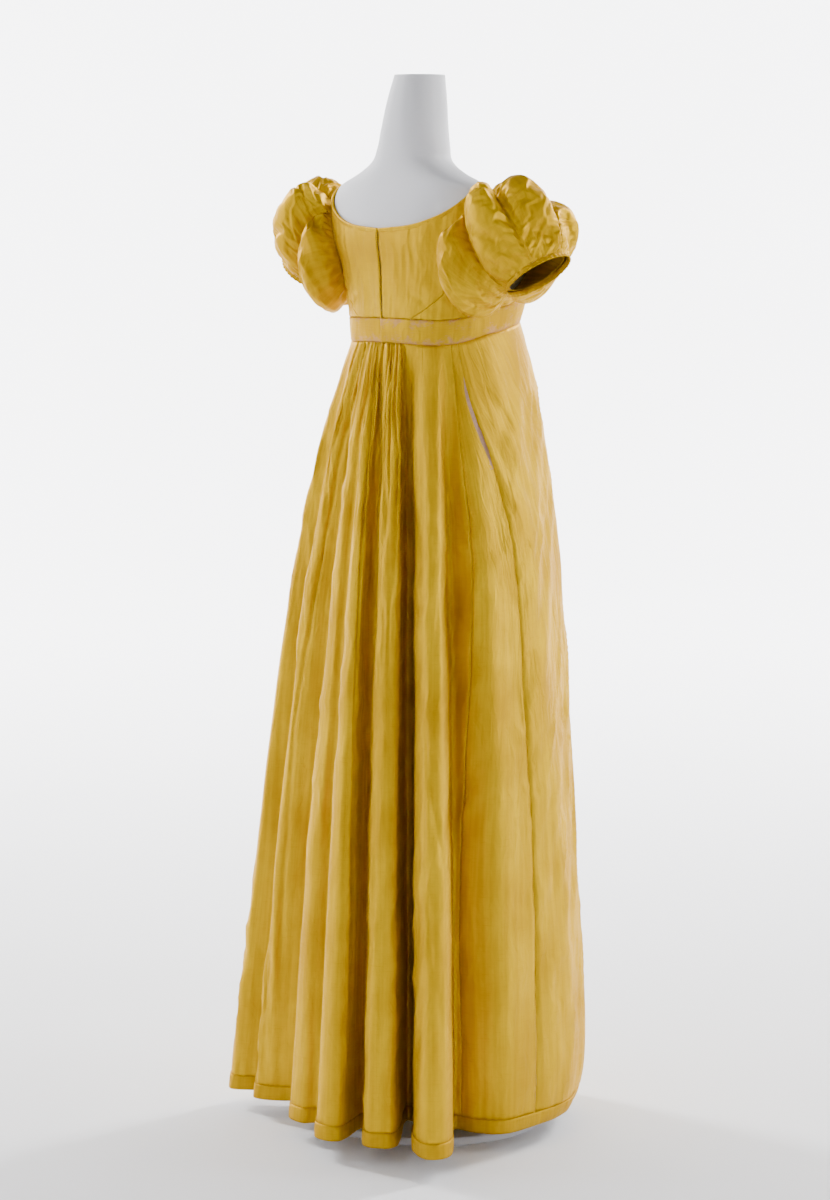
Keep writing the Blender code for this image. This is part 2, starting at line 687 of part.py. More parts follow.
def build_sleeves():
    """Make both sleeves: puffed lobes, rib cords, linings and cuffs."""
    rows = np.linspace(0, 1, SLEEVE_ROWS + 1)
    columns = sleeve_columns()
    outside = sleeve_surface(*columns.T, rows)
    inside = outside + inward(outside, wrap=True, turn=-1) * SLEEVE_WALL
    ends = sleeve_surface(*columns.T, rows, SLEEVE_WALL)
    inside[0], inside[-1] = ends[0], ends[-1]
    both_sides("sleeve", outside, inside, (SILK, 0.42))

    psi = np.linspace(0, 360, 21)[:-1]
    cuff_psi = np.interp(psi, *lining_twist())
    slack = np.full(len(psi), 8 * MM)
    rows = np.linspace(0, 1, 5)
    flat = np.full(len(psi), 0.6)
    outside = sleeve_surface(psi, cuff_psi, slack, slack, flat, rows, LINING_SET_IN)
    inside = sleeve_surface(psi, cuff_psi, slack, slack, flat, rows, LINING_SET_IN + LINING_WALL)
    both_sides("sleeve_lining", outside, inside, (SILK_DARK, 0.5))

    psi = np.linspace(0, 360, 2 * CUFF_PUCKERS + 1)[:-1]
    pucker = CUFF_PUCKER_DEPTH * np.cos(np.radians(psi) * CUFF_PUCKERS)
    heights = np.array((-CUFF_HEIGHT + SEAM_GAP, -0.45 * CUFF_HEIGHT, 0.0))
    swell = np.array([[0.3], [0.9], [0.2]]) * MM
    outer_radii = CUFF_RADIUS + swell + pucker * np.array([[0.3], [1], [1]])
    outside = np.stack([cuff_ring(psi, r, h) for r, h in zip(outer_radii, heights)])
    inside = np.stack([cuff_ring(psi, r - 1.6 * MM, h) for r, h in zip(outer_radii, heights)])
    both_sides("cuff", outside, inside, (SILK_DARK, 0.45))

    for index, rib in enumerate(SLEEVE_RIBS[:4]):
        build_cord(index + 1, rib)


def lining_twist():
    """Return matching armhole and cuff angles for the lining."""
    armhole_psi = [rib.armhole for rib in SLEEVE_RIBS]
    cuff_psi = [rib.cuff for rib in SLEEVE_RIBS]
    armhole_psi = armhole_psi + [angle + 360 for angle in armhole_psi]
    cuff_psi = cuff_psi + [angle + 360 for angle in cuff_psi]
    return armhole_psi, cuff_psi


def both_sides(name, outside, inside, look):
    """Make a ring of cloth on the wearer's right and its mirror image on the left."""
    wall(name + "_right", outside, inside, look, wrap=True)
    wall(name + "_left", mirrored(outside), mirrored(inside), look, wrap=True)


def build_cord(number, rib):
    """Make a thin cord that lies in the hollow along a rib, on both sleeves."""
    rows = np.linspace(0, 1, SLEEVE_ROWS + 1)
    puff = np.full(3, rib.rib_puff)
    offsets = np.array((-1.0, 0, 1)) * RIB_HALF_ANGLE
    lap = np.full(3, rib.lap)
    strip = sleeve_surface(rib.armhole + offsets, rib.cuff + offsets, puff, puff, lap, rows)
    centre = strip[:, 1]
    across = strip[:, 2] - strip[:, 0]
    across /= np.linalg.norm(across, axis=1)[:, None]
    along = np.gradient(centre, axis=0)
    along /= np.linalg.norm(along, axis=1)[:, None]
    outwards = np.cross(across, along)
    outwards /= np.linalg.norm(outwards, axis=1)[:, None]
    centre = centre + outwards * (CORD_RADIUS + SEAM_GAP)
    centre[0] += 0.3 * (centre[1] - centre[0])
    centre[-1] += 0.3 * (centre[-2] - centre[-1])
    turns = np.radians(np.arange(0, 360, 72))
    ring = (centre[:, None] + CORD_RADIUS * (np.cos(turns)[None, :, None] * across[:, None]
            + np.sin(turns)[None, :, None] * outwards[:, None]))
    for side, points in (("right", ring), ("left", mirrored(ring))):
        tube("sleeve_cord_%s_%d" % (side, number), points, (SILK_DARK, 0.45))


def tube(name, rings, look):
    """Make a closed solid from rings of points, with flat ends."""
    rows, columns = rings.shape[:2]
    faces = []
    for row in range(rows - 1):
        for column in range(columns):
            near, far = row * columns + column, row * columns + (column + 1) % columns
            faces.append((near, far, far + columns, near + columns))
    faces.append(tuple(range(columns)))
    faces.append(tuple((rows - 1) * columns + column for column in reversed(range(columns))))
    return finish(name, rings.reshape(-1, 3), faces, look)


def disc_rings(radius, bottom, top, bevel):
    """Return the rings of an upright round bar with bevelled ends."""
    turns = np.radians(np.arange(ROUND_STEPS) * 360 / ROUND_STEPS)
    rings = []
    for r, z in ((radius - bevel, bottom), (radius, bottom + bevel),
                 (radius, top - bevel), (radius - bevel, top)):
        rings.append(np.column_stack([r * np.cos(turns), r * np.sin(turns), np.full(ROUND_STEPS, z)]))
    return np.stack(rings)


def build_form():
    """Make the dress form's torso with its neck, the pole and the base."""
    heights = np.array([860, 895, 930, 985, 1040, 1110, 1150, 1190, 1240, 1290, 1330, 1350, 1370,
                        1385, 1398, 1408, 1417, 1425, 1433, 1441, 1451, 1466, 1490, 1530, 1562]) * MM
    phi = np.arange(FORM_COLUMNS) * 360 / FORM_COLUMNS
    rings = [body(phi, height, 0.0) for height in heights]
    rings.append(body(phi, 1567 * MM, -3 * MM))
    rings.insert(0, body(phi, 860 * MM, 0.0) * (0.93, 0.93, 1) - (0, 0, 6 * MM))
    rings.insert(0, body(phi, 860 * MM, 0.0) * (0.80, 0.80, 1) - (0, 0, 8 * MM))
    tube("form_torso", np.stack(rings), (FORM_WHITE, 0.6))

    pole_top = 852 * MM - SEAM_GAP
    tube("stand_pole", disc_rings(POLE_RADIUS, BASE_THICKNESS + SEAM_GAP, pole_top, 1 * MM),
         (STAND_GREY, 0.4))
    tube("stand_base", disc_rings(BASE_RADIUS, 0.0, BASE_THICKNESS, 2 * MM), (STAND_GREY, 0.4))


def main():
    """Clear the scene and build every piece."""
    for old in list(bpy.data.objects):
        bpy.data.objects.remove(old, do_unlink=True)
    build_form()
    build_bodice()
    build_neck_binding()
    build_waistband()
    build_skirt()
    build_hem_band()
    build_placket_facing()
    build_sleeves()


main()
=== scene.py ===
"""The looks of a regency gown on a dress form, laid out as a Blender add-on.

Run as a script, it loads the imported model, dresses it and sets the stage. Units are
metres, +Z is up, and the wearer faces -Y, so the wearer's right is -X. An angle round the
body, phi, is in degrees from the centre back towards the wearer's right. A length round
the waist seam, called arc, starts at the centre back and grows the same way. Drop runs
from 0 at the waist seam to 1 at the hem.
"""
import math
from collections import namedtuple

import bmesh
import bpy
import numpy as np
from bpy.props import FloatProperty, IntProperty, PointerProperty, StringProperty
from mathutils import Matrix, Vector
from mathutils.kdtree import KDTree


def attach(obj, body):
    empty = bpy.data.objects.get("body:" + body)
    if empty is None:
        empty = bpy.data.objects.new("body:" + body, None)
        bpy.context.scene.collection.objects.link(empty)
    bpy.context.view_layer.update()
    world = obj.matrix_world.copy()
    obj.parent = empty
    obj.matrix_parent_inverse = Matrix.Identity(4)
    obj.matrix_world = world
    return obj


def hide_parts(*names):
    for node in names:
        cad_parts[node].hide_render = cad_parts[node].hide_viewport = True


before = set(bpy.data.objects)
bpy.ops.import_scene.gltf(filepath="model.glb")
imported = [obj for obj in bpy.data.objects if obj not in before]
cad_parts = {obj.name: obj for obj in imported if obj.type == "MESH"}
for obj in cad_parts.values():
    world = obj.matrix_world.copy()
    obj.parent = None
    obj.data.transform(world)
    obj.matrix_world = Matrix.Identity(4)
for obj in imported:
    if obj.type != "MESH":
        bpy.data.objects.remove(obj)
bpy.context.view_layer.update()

bl_info = {
    "name": "Regency gown",
    "version": (1, 0, 0),
    "blender": (4, 5, 0),
    "location": "3D View > Sidebar > Gown",
    "description": "Silk gown with puffed sleeves on a dress form",
    "category": "Object",
}

MM = 0.001

# Clearances and the waist, as in the model.
SEAM_GAP = 0.3 * MM
EASE = 2.5 * MM
BODICE_OUTSIDE = 4.0 * MM
WAIST_TOP = 1215 * MM
WAIST_BOTTOM = 1180 * MM
WAIST_RISE = 35 * MM
WAIST_SAG = 8 * MM
WAIST_SAG_AT = 55
WAIST_SAG_WIDTH = 30
HEM_HEIGHT = 30 * MM
HEM_BAND = 22 * MM
TUCK_UNDER = 5 * MM
SKIRT_LENGTH = WAIST_BOTTOM - HEM_HEIGHT

# The form's sections: height, half width, place of the widest line, depths in front of
# and behind that line.
SQUARENESS = 2.4
FormRow = namedtuple("FormRow", "z half_width centre_y front back")
FORM_ROWS = [FormRow(*(value * MM for value in row)) for row in (
    (860, 142, 0, 98, 94),
    (930, 148, 0, 106, 100),
    (1040, 130, 0, 96, 92),
    (1110, 121, 0, 94, 91),
    (1190, 125, 0, 100, 97),
    (1240, 132, 0, 120, 98),
    (1290, 144, 8, 126, 92),
    (1330, 153, 18, 108, 88),
    (1365, 157, 28, 82, 74),
    (1390, 154, 36, 60, 60),
    (1408, 138, 41, 50, 50),
    (1424, 98, 43, 47, 45),
    (1440, 68, 43, 48, 42),
    (1462, 56, 40, 48, 42),
    (1485, 50, 38, 47, 42),
    (1530, 42, 32, 42, 40),
    (1567, 34, 26, 36, 36),
)]
FORM_BOTTOM = 860 * MM
FORM_TOP = 1567 * MM

# The neckline, from the centre back over the shoulder to the centre front.
NeckPoint = namedtuple("NeckPoint", "phi z")
NECKLINE = [NeckPoint(phi, z * MM) for phi, z in (
    (0, 1345),
    (20, 1351),
    (40, 1366),
    (60, 1388),
    (79, 1404),
    (97, 1404),
    (115, 1388),
    (135, 1362),
    (158, 1342),
    (180, 1337),
)]

# The binding's section from its inner edge over the neckline: mm below the neckline and
# mm away from the form.
NECK_BINDING_SECTION = ((5.0, 0.9), (2.0, 0.9), (0.4, 1.4), (-0.5, 2.6), (-0.6, 3.8), (-0.1, 5.0),
                        (0.9, 5.6), (2.0, 5.3), (2.9, 4.7), (4.2, 4.6), (6.0, 4.4))

# The armhole, an oval whose angle psi runs from the top over the back.
ARMHOLE_PHI = 86
ARMHOLE_Z = 1308.5 * MM
ARMHOLE_HALF_WIDTH = 36
ARMHOLE_HALF_HEIGHT = 63.5 * MM
SIDE_BACK_PSI = 122
SIDE_BACK_WAIST_PHI = 20

# The hem in plan: a row for each ridge or hollow of a fold, with the place on the waist
# from which it falls.
HemPoint = namedtuple("HemPoint", "arc x y")
HEM_POINTS = [HemPoint(*(value * MM for value in row)) for row in (
    (-280, 115, -200),
    (-190, 203, -126),
    (-155, 238, -50),
    (-136, 240, 30),
    (-123, 220, 95),
    (-113, 178, 108),
    (-100, 258, 174),
    (-90, 236, 202),
    (-78, 193, 174),
    (-66, 180, 204),
    (-54, 155, 204),
    (-41, 86, 166),
    (-31, 60, 236),
    (-25, 25, 243),
    (-19, 3, 228),
    (-13, -42, 274),
    (-6, -82, 266),
    (3, -56, 196),
    (10, -74, 190),
    (18, -114, 246),
    (27, -146, 248),
    (37, -154, 214),
    (46, -74, 124),
    (53, -90, 118),
    (70, -184, 212),
    (85, -238, 230),
    (99, -234, 180),
    (107, -166, 116),
    (114, -160, 100),
    (123, -198, 94),
    (131, -236, 66),
    (138, -238, 8),
    (155, -238, -52),
    (190, -203, -126),
    (280, -115, -200),
    (380, 0, -230),
)]
Flare = namedtuple("Flare", "straight drop")
BACK_FLARE = Flare(0.66, 0.20)
FRONT_FLARE = Flare(0.50, 0.15)
HEM_CURL = 30 * MM
HEM_CURL_DROP = 0.035

# Gathers at the centre back.
GATHER_COUNT = 12
GATHER_START = -64 * MM
GATHER_PITCH = 8.7 * MM
GATHER_TOP = 2.4 * MM
GATHER_FULL = 3.8 * MM
GATHER_GROWTH = 0.035
GATHER_COLUMNS = 11
GATHER_WANDER = 0.55
GATHER_VALLEY = 0.19

# Seams of the skirt at its sides, as drop and arc, and the slit in the front one on the
# wearer's right.
SeamPoint = namedtuple("SeamPoint", "drop arc")
SEAM_BACK = [SeamPoint(drop, arc * MM) for drop, arc in (
    (0.0, 117),
    (0.11, 121),
    (0.23, 125),
    (0.35, 125),
    (0.47, 122),
    (0.60, 118),
    (1.0, 117),
)]
SEAM_FRONT = [SeamPoint(drop, arc * MM) for drop, arc in (
    (0.0, 126),
    (0.05, 129),
    (0.10, 134),
    (0.16, 139),
    (0.22, 142),
    (0.47, 142),
    (1.0, 138),
)]
SLIT_TOP = 0.04
SLIT_BOTTOM = 0.158
SLIT_WIDTH = 7.5 * MM

# Creases of the skirt: both ends as arc and drop, the width across, and the height, which
# is below 0 for a trough.
Crease = namedtuple("Crease", "arc_top drop_top arc_bottom drop_bottom width height")
SKIRT_CREASES = [Crease(a * MM, top, b * MM, bottom, width * MM, height * MM)
                 for a, top, b, bottom, width, height in (
    (43, -0.06, 42, 0.46, 2.2, -5.0),
    (37, -0.04, 37, 0.40, 3.6, 2.2),
    (48, 0.02, 52, 0.24, 4.0, 1.6),
    (20, -0.05, 28, 0.21, 1.8, -4.4),
    (27, 0.0, 23, 0.13, 1.4, -3.0),
    (12, -0.04, 13, 0.30, 3.4, 1.8),
    (-7, -0.06, -5, 0.50, 2.2, -4.6),
    (-12, 0.02, -11, 0.36, 3.4, 1.6),
    (-16, -0.04, -22, 0.13, 1.6, -3.2),
    (-30, -0.04, -50, 0.13, 1.8, -3.6),
    (-47, 0.08, -57, 0.52, 2.6, -4.2),
    (-40, 0.04, -44, 0.30, 3.2, 1.4),
    (-55, -0.03, -66, 0.20, 2.4, -2.6),
    (2, -0.04, 4, 0.12, 1.4, -2.6),
    (42, 0.38, 39, 1.02, 3.0, -2.6),
    (36, 0.30, 35, 1.02, 6.0, 1.8),
    (-5, 0.40, -2, 1.02, 3.0, -2.6),
    (-9, 0.40, -8, 1.02, 6.0, 1.6),
    (-57, 0.44, -50, 1.02, 3.4, -2.6),
    (17, 0.30, 14, 1.02, 8.0, 1.6),
    (24, 0.34, 21, 0.98, 6.0, -1.4),
    (54, 0.12, 75, 0.30, 9.0, -2.4),
    (64, 0.05, 66, 0.42, 11.0, 2.0),
    (92, 0.28, 87, 0.50, 8.0, -1.8),
    (78, 0.46, 97, 0.66, 5.0, -2.6),
    (86, 0.44, 83, 0.62, 4.5, 1.8),
    (80, 0.64, 92, 0.84, 5.5, -2.2),
    (89, 0.72, 87, 0.93, 7.0, 1.8),
    (104, 0.10, 112, 0.36, 7.0, -1.8),
    (128, 0.19, 124, 0.44, 10.0, 2.4),
    (134, 0.10, 147, 0.20, 6.0, 2.2),
    (147, 0.06, 168, 0.14, 12.0, -1.8),
    (150, 0.15, 182, 0.23, 13.0, -1.8),
    (172, 0.16, 190, 0.34, 12.0, 1.6),
    (138, 0.42, 145, 0.58, 7.0, -1.5),
    (160, 0.52, 155, 0.74, 5.0, -1.6),
    (166, 0.60, 168, 0.90, 14.0, 2.0),
    (151, 0.76, 160, 0.93, 6.0, -1.4),
    (-26, 0.58, -22, 0.97, 6.0, -2.0),
    (-8, 0.40, -5, 0.92, 6.0, -1.6),
    (-60, 0.66, -50, 0.92, 6.0, 2.4),
    (-66, 0.70, -76, 0.90, 5.0, -2.4),
    (-84, 0.04, -88, 0.40, 9.0, -2.0),
    (-108, 0.10, -112, 0.46, 8.0, 2.0),
    (-150, 0.06, -170, 0.18, 12.0, -2.0),
    (-140, 0.44, -150, 0.66, 7.0, -1.8),
    (-168, 0.50, -165, 0.86, 14.0, 2.0),
    (-230, 0.05, -236, 0.40, 16.0, 2.0),
    (-262, 0.30, -258, 0.80, 18.0, -2.0),
    (230, 0.08, 238, 0.46, 16.0, 2.0),
    (268, 0.34, 262, 0.84, 18.0, -2.2),
    (320, 0.04, 316, 0.50, 18.0, 2.0),
    (340, 0.40, 352, 0.90, 20.0, -2.0),
)]

# Creases of the bodice, as phi and height of both ends.
BodiceCrease = namedtuple("BodiceCrease", "phi z to_phi to_z width height")
BODICE_CREASES = [BodiceCrease(phi, z * MM, to_phi, to_z * MM, width * MM, height * MM)
                  for phi, z, to_phi, to_z, width, height in (
    (16, 1256, 44, 1222, 5, -1.0),
    (24, 1268, 56, 1226, 6, 0.9),
    (34, 1272, 66, 1232, 5, -1.0),
    (46, 1268, 74, 1240, 5, 0.8),
    (7, 1332, 8, 1262, 6, 0.5),
    (14, 1336, 15, 1280, 6, -0.5),
    (23, 1342, 26, 1290, 6, 0.6),
    (34, 1352, 40, 1310, 5, -0.7),
    (45, 1366, 52, 1340, 4, 0.8),
    (54, 1380, 62, 1372, 3, -0.7),
    (92, 1230, 118, 1262, 7, 0.9),
    (104, 1226, 132, 1266, 8, -1.0),
    (128, 1232, 150, 1290, 10, 0.9),
    (162, 1236, 168, 1320, 9, -0.8),
)]

# The right sleeve's cuff ring; the left one is its mirror image.
CUFF_CENTRE = np.array((-241, 20, 1278)) * MM
CUFF_NORMAL = np.array((-0.555, -0.111, -0.82))
CUFF_UP = np.array((-0.80, -0.16, 0.577))
CUFF_BACK = np.array((-0.195, 0.976, 0.0))
CUFF_RADIUS = 51 * MM
CUFF_HEIGHT = 7 * MM
CUFF_PUCKERS = 20
CUFF_PUCKER_DEPTH = 0.7 * MM

# Ribs of the right sleeve, with their angles on the armhole and on the cuff, and the lobe
# that follows each one, with its fullness at both ends.
SleeveRib = namedtuple("SleeveRib", "armhole cuff rib_puff puff_armhole puff_cuff lap columns")
SLEEVE_RIBS = [SleeveRib(a, c, *(value * MM for value in puffs), lap, columns)
               for a, c, *puffs, lap, columns in (
    (-80, -62, 60, 82, 56, 0.80, 24),
    (-30, 5, 76, 112, 58, 0.90, 26),
    (5, 58, 82, 118, 76, 0.94, 28),
    (38, 128, 58, 104, 66, 0.96, 44),
    (180, 190, 36, 52, 44, 0.70, 30),
)]
RIB_HALF_ANGLE = 2.6
LINING_SET_IN = 7 * MM
LINING_WALL = 1.0 * MM
SLEEVE_LIFT = 0.3 * MM
SLEEVE_ROWS = 64
RIB_SINK = 0.72
PUFF_SLACK = 0.14
PUFF_PRESSURE = 5.0
PUFF_STEPS = 16
PUFF_REACH = 12 * MM
CORD_RADIUS = 1.3 * MM

# The camera stands behind the wearer's right shoulder and looks slightly down.
CAMERA_AZIMUTH = 227
CAMERA_DISTANCE = 4.75
CAMERA_HEIGHT = 1.40
CAMERA_SIDE = 26 * MM
CAMERA_PITCH = 7.30
CAMERA_LENS = 96.0

# Soft lights: the turn to the camera's left of the camera, distance, height, the height
# and the distance behind the gown that each aims at, its size and its power in watts.
Light = namedtuple("Light", "name turn away height aim beyond width tall power")
LIGHTS = [Light(*row) for row in (
    ("left softbox", 84, 2.6, 1.5, 0.9, 0, 1.0, 2.4, 26),
    ("right softbox", -80, 2.7, 1.5, 0.9, 0, 1.0, 2.4, 48),
    ("overhead", 35, 1.8, 3.6, 1.0, 0, 1.3, 1.0, 17),
    ("backdrop left", 130, 6.0, 4.5, 2.0, 8.3, 2.4, 2.4, 2000),
    ("backdrop right", -130, 6.0, 4.5, 2.0, 8.3, 2.4, 2.4, 2000),
)]

# Tints of the silk's lustre and sheen, and the silk where two layers lie together.
LUSTRE_GOLD = "#FFD24A"
SHEEN_GOLD = "#E2A400"
DOUBLED_SILK = "#B08A00"

# The floor is flat to its edge, and curves up into the wall.
FLOOR_EDGE = 6.0
WALL_CURVE = 3.2
WALL_TOP = 7.0

# Flat cuts of the cloth that shows, in metres and square metres. Most of the areas are
# those of the modelled surfaces.
Cut = namedtuple("Cut", "width length area")


class GownSizes(bpy.types.PropertyGroup):
    """Sizes that a user would change."""

    cloth: FloatProperty(name="Cloth", description="Thickness of the silk with its lining",
                         default=0.6 * MM, subtype="DISTANCE", unit="LENGTH")
    crease: FloatProperty(name="Creases", description="Share of the creases' full height",
                          default=1.4, min=0.0, max=2.0, subtype="FACTOR")
    pucker: FloatProperty(name="Puckers", description="Height of the puckers beside the ribs",
                          default=2.3 * MM, subtype="DISTANCE", unit="LENGTH")
    stitch: FloatProperty(name="Stitch", description="Length of one hand stitch",
                          default=2.2 * MM, subtype="DISTANCE", unit="LENGTH")
    rows: IntProperty(name="Rows", description="Rows of the skirt's mesh", default=132, min=20)
    thread: FloatProperty(name="Thread", description="Spacing of the threads that are drawn",
                          default=0.9 * MM, subtype="DISTANCE", unit="LENGTH")


class GownColours(bpy.types.PropertyGroup):
    """Colours, as sRGB hex values."""

    silk: StringProperty(name="Silk", description="Golden yellow of the lit silk", default="#C39A00")
    silk_pale: StringProperty(name="Pale silk", description="Paler streaks", default="#D4AB00")
    silk_deep: StringProperty(name="Deep silk", description="Deeper streaks", default="#A67A00")
    wear: StringProperty(name="Wear", description="Worn beige pink of the band", default="#BC8C5C")
    lining: StringProperty(name="Lining", description="Silk lining", default="#A88600")
    linen: StringProperty(name="Linen", description="Facing behind the slit", default="#C79E8B")
    thread: StringProperty(name="Thread", description="Sewing thread", default="#A57C22")
    form: StringProperty(name="Form", description="Covering of the dress form", default="#D9D9DB")
    stand: StringProperty(name="Stand", description="Powder coat of the stand", default="#D2D2D4")
    floor: StringProperty(name="Floor", description="Floor and backdrop", default="#ECECEE")


def sizes():
    """Return the scene's sizes."""
    return bpy.context.scene.gown_sizes


def colours():
    """Return the scene's colours."""
    return bpy.context.scene.gown_colours


def linear(hex_value):
    """Turn an sRGB hex value into a linear colour with alpha."""
    channels = [int(hex_value[i:i + 2], 16) / 255 for i in (1, 3, 5)]
    return (*(c / 12.92 if c <= 0.04045 else ((c + 0.055) / 1.055) ** 2.4 for c in channels), 1.0)


def add(tree, kind, values=None, links=None, **settings):
    """Add a node, set its attributes and its sockets' values, and link its inputs."""
    node = tree.nodes.new(kind)
    for key, value in settings.items():
        setattr(node, key, value)
    for key, value in (values or {}).items():
        node.inputs[key].default_value = value
    for key, socket in (links or {}).items():
        tree.links.new(socket, node.inputs[key])
    return node


def smooth(keys, values, where):
    """Return values at 'where' on the smooth curve through the keys, one per column."""
    keys = np.asarray(keys, float)
    values = np.asarray(values, float).reshape(len(keys), -1)
    where = np.atleast_1d(np.asarray(where, float))
    slopes = np.gradient(values, keys, axis=0)
    span = np.clip(np.searchsorted(keys, where, side="right") - 1, 0, len(keys) - 2)
    width = (keys[span + 1] - keys[span])[:, None]
    t = (where - keys[span])[:, None] / width
    start = (1 + 2 * t) * (1 - t) ** 2 * values[span] + t * (1 - t) ** 2 * width * slopes[span]
    end = t * t * (3 - 2 * t) * values[span + 1] + t * t * (t - 1) * width * slopes[span + 1]
    return start + end


def form_sections(z):
    """Return half width, centre, front depth and back depth of the form at heights z."""
    rows = smooth([row.z for row in FORM_ROWS], [row[1:] for row in FORM_ROWS], np.ravel(z))
    return [column.reshape(np.shape(z)) for column in rows.T]


def body(phi, z, gap):
    """Return points of the form's surface moved outwards by a gap."""
    phi, z, gap = np.broadcast_arrays(*(np.atleast_1d(a).astype(float) for a in (phi, z, gap)))
    width, centre, front, back = form_sections(z)
    side, rear = np.sin(np.radians(phi)), np.cos(np.radians(phi))
    power = 2 / SQUARENESS
    depth = np.where(rear >= 0, back, front) + gap
    x = -(width + gap) * np.sign(side) * np.abs(side) ** power
    y = centre + depth * np.sign(rear) * np.abs(rear) ** power
    return np.stack([x, y, z], -1)


def body_phi(points):
    """Return the angle phi of points near the form's surface."""
    width, centre, front, back = form_sections(points[:, 2])
    away = points[:, 1] - centre
    depth = np.where(away >= 0, back, front)
    side = (np.abs(points[:, 0]) / (width + BODICE_OUTSIDE)) ** (SQUARENESS / 2) * -np.sign(points[:, 0])
    rear = (np.abs(away) / (depth + BODICE_OUTSIDE)) ** (SQUARENESS / 2) * np.sign(away)
    return np.degrees(np.arctan2(side, rear))


def waist(phi, height):
    """Height of a waist line that has the given height at the centre back."""
    turn = (np.asarray(phi, float) + 180) % 360 - 180
    rise = WAIST_RISE * (1 - np.cos(np.radians(turn))) / 2
    return height + rise - WAIST_SAG * np.exp(-((np.abs(turn) - WAIST_SAG_AT) / WAIST_SAG_WIDTH) ** 2)


def waist_arcs():
    """Return matching lists of phi and arc right round the skirt's waist seam."""
    phi = np.linspace(-180, 180, 1441)
    ring = body(phi, waist(phi, WAIST_BOTTOM), BODICE_OUTSIDE)
    arc = np.concatenate([[0], np.cumsum(np.linalg.norm(np.diff(ring, axis=0), axis=1))])
    return phi, arc - arc[len(arc) // 2]


WAIST_PHI, WAIST_ARC = waist_arcs()
WAIST_HALF = WAIST_ARC[-1]


def wrapped(arc):
    """Bring an arc into the range of half a waist on either side of the centre back."""
    return (np.asarray(arc, float) + WAIST_HALF) % (2 * WAIST_HALF) - WAIST_HALF


def hem_plan(arc):
    """Return x and y of the hem for an arc along the waist seam."""
    points = list(HEM_POINTS)
    before = [HemPoint(p.arc - 2 * WAIST_HALF, p.x, p.y) for p in points[-3:]]
    after = [HemPoint(p.arc + 2 * WAIST_HALF, p.x, p.y) for p in points[:3]]
    points = before + points + after
    return smooth([p.arc for p in points], [(p.x, p.y) for p in points], wrapped(arc))


def gathers(arc, drop):
    """Return how far the gathers push the cloth outwards at an arc and drop."""
    turns = (arc - GATHER_START) / GATHER_PITCH
    turns = turns + GATHER_WANDER * noise(turns * 0.9 + 9, drop * 14, 15) * np.clip(0.4 + drop / 0.03, 0, 1)
    from_valley = np.abs(turns - np.round(turns))
    crisp = 1 - 2 * np.exp(-(from_valley / GATHER_VALLEY) ** 2)
    fade = 0.27 + 0.10 * noise(turns * 0.8 + 3, np.zeros_like(turns), 16)
    size = GATHER_TOP + (GATHER_FULL - GATHER_TOP) * (1 - np.exp(-drop / GATHER_GROWTH))
    size = size * np.exp(-(drop / fade) ** 2) * (0.8 + 0.45 * noise(turns + 5, np.zeros_like(turns), 17))
    edge = np.clip(2 * np.minimum(turns, GATHER_COUNT - turns), 0, 1)
    return crisp * size * edge


def skirt(arc, drop, gap=0.0):
    """Return points of the skirt's outside before its creases."""
    arc, drop = np.broadcast_arrays(np.asarray(arc, float), np.asarray(drop, float))
    flat_arc, flat_drop = arc.ravel(), drop.ravel()
    turn = wrapped(flat_arc)
    phi = np.interp(turn, WAIST_ARC, WAIST_PHI)
    top = body(phi, waist(phi, WAIST_BOTTOM) - SEAM_GAP, BODICE_OUTSIDE)
    frontness = np.clip((np.abs(turn) - 100 * MM) / (60 * MM), 0, 1)
    shares = [flare.straight * flat_drop + (1 - flare.straight) * (1 - np.exp(-flat_drop / flare.drop))
              for flare in (BACK_FLARE, FRONT_FLARE)]
    share = shares[0] * (1 - frontness) + shares[1] * frontness
    curl = HEM_CURL * frontness * np.exp((flat_drop - 1) / HEM_CURL_DROP)
    plan = top[:, :2] + (hem_plan(flat_arc) - top[:, :2]) * share[:, None]
    outwards = top[:, :2] / np.linalg.norm(top[:, :2], axis=1)[:, None]
    plan = plan + outwards * (gathers(turn, flat_drop) + gap - curl)[:, None]
    height = top[:, 2] * (1 - flat_drop) + HEM_HEIGHT * flat_drop
    return np.column_stack([plan, height]).reshape(arc.shape + (3,))


def skirt_normals(arc, drop):
    """Return unit normals of the skirt's plain surface, pointing outwards."""
    across = skirt(arc + 0.4 * MM, drop) - skirt(arc - 0.4 * MM, drop)
    down = skirt(arc, drop + 0.002) - skirt(arc, np.maximum(drop - 0.002, 0))
    normal = np.cross(down, across)
    return normal / np.linalg.norm(normal, axis=-1)[..., None]


def noise(u, v, seed):
    """Return smooth uneven values from about -1 to 1, one bump for each unit of u and v."""
    lattice = np.random.default_rng(seed).uniform(-1, 1, (64, 64))
    u, v = np.broadcast_arrays(np.asarray(u, float), np.asarray(v, float))
    i, j = np.floor(u).astype(int), np.floor(v).astype(int)
    s, t = u - i, v - j
    s, t = s * s * (3 - 2 * s), t * t * (3 - 2 * t)
    i, j = i % 64, j % 64
    right, below = (i + 1) % 64, (j + 1) % 64
    top = lattice[i, j] * (1 - s) + lattice[right, j] * s
    bottom = lattice[i, below] * (1 - s) + lattice[right, below] * s
    return top * (1 - t) + bottom * t


def crisp_noise(u, v, seed):
    """Return uneven values whose ridges are narrow, like creases in crisp silk."""
    return 1 - 2 * np.abs(noise(u, v, seed)) ** 0.6


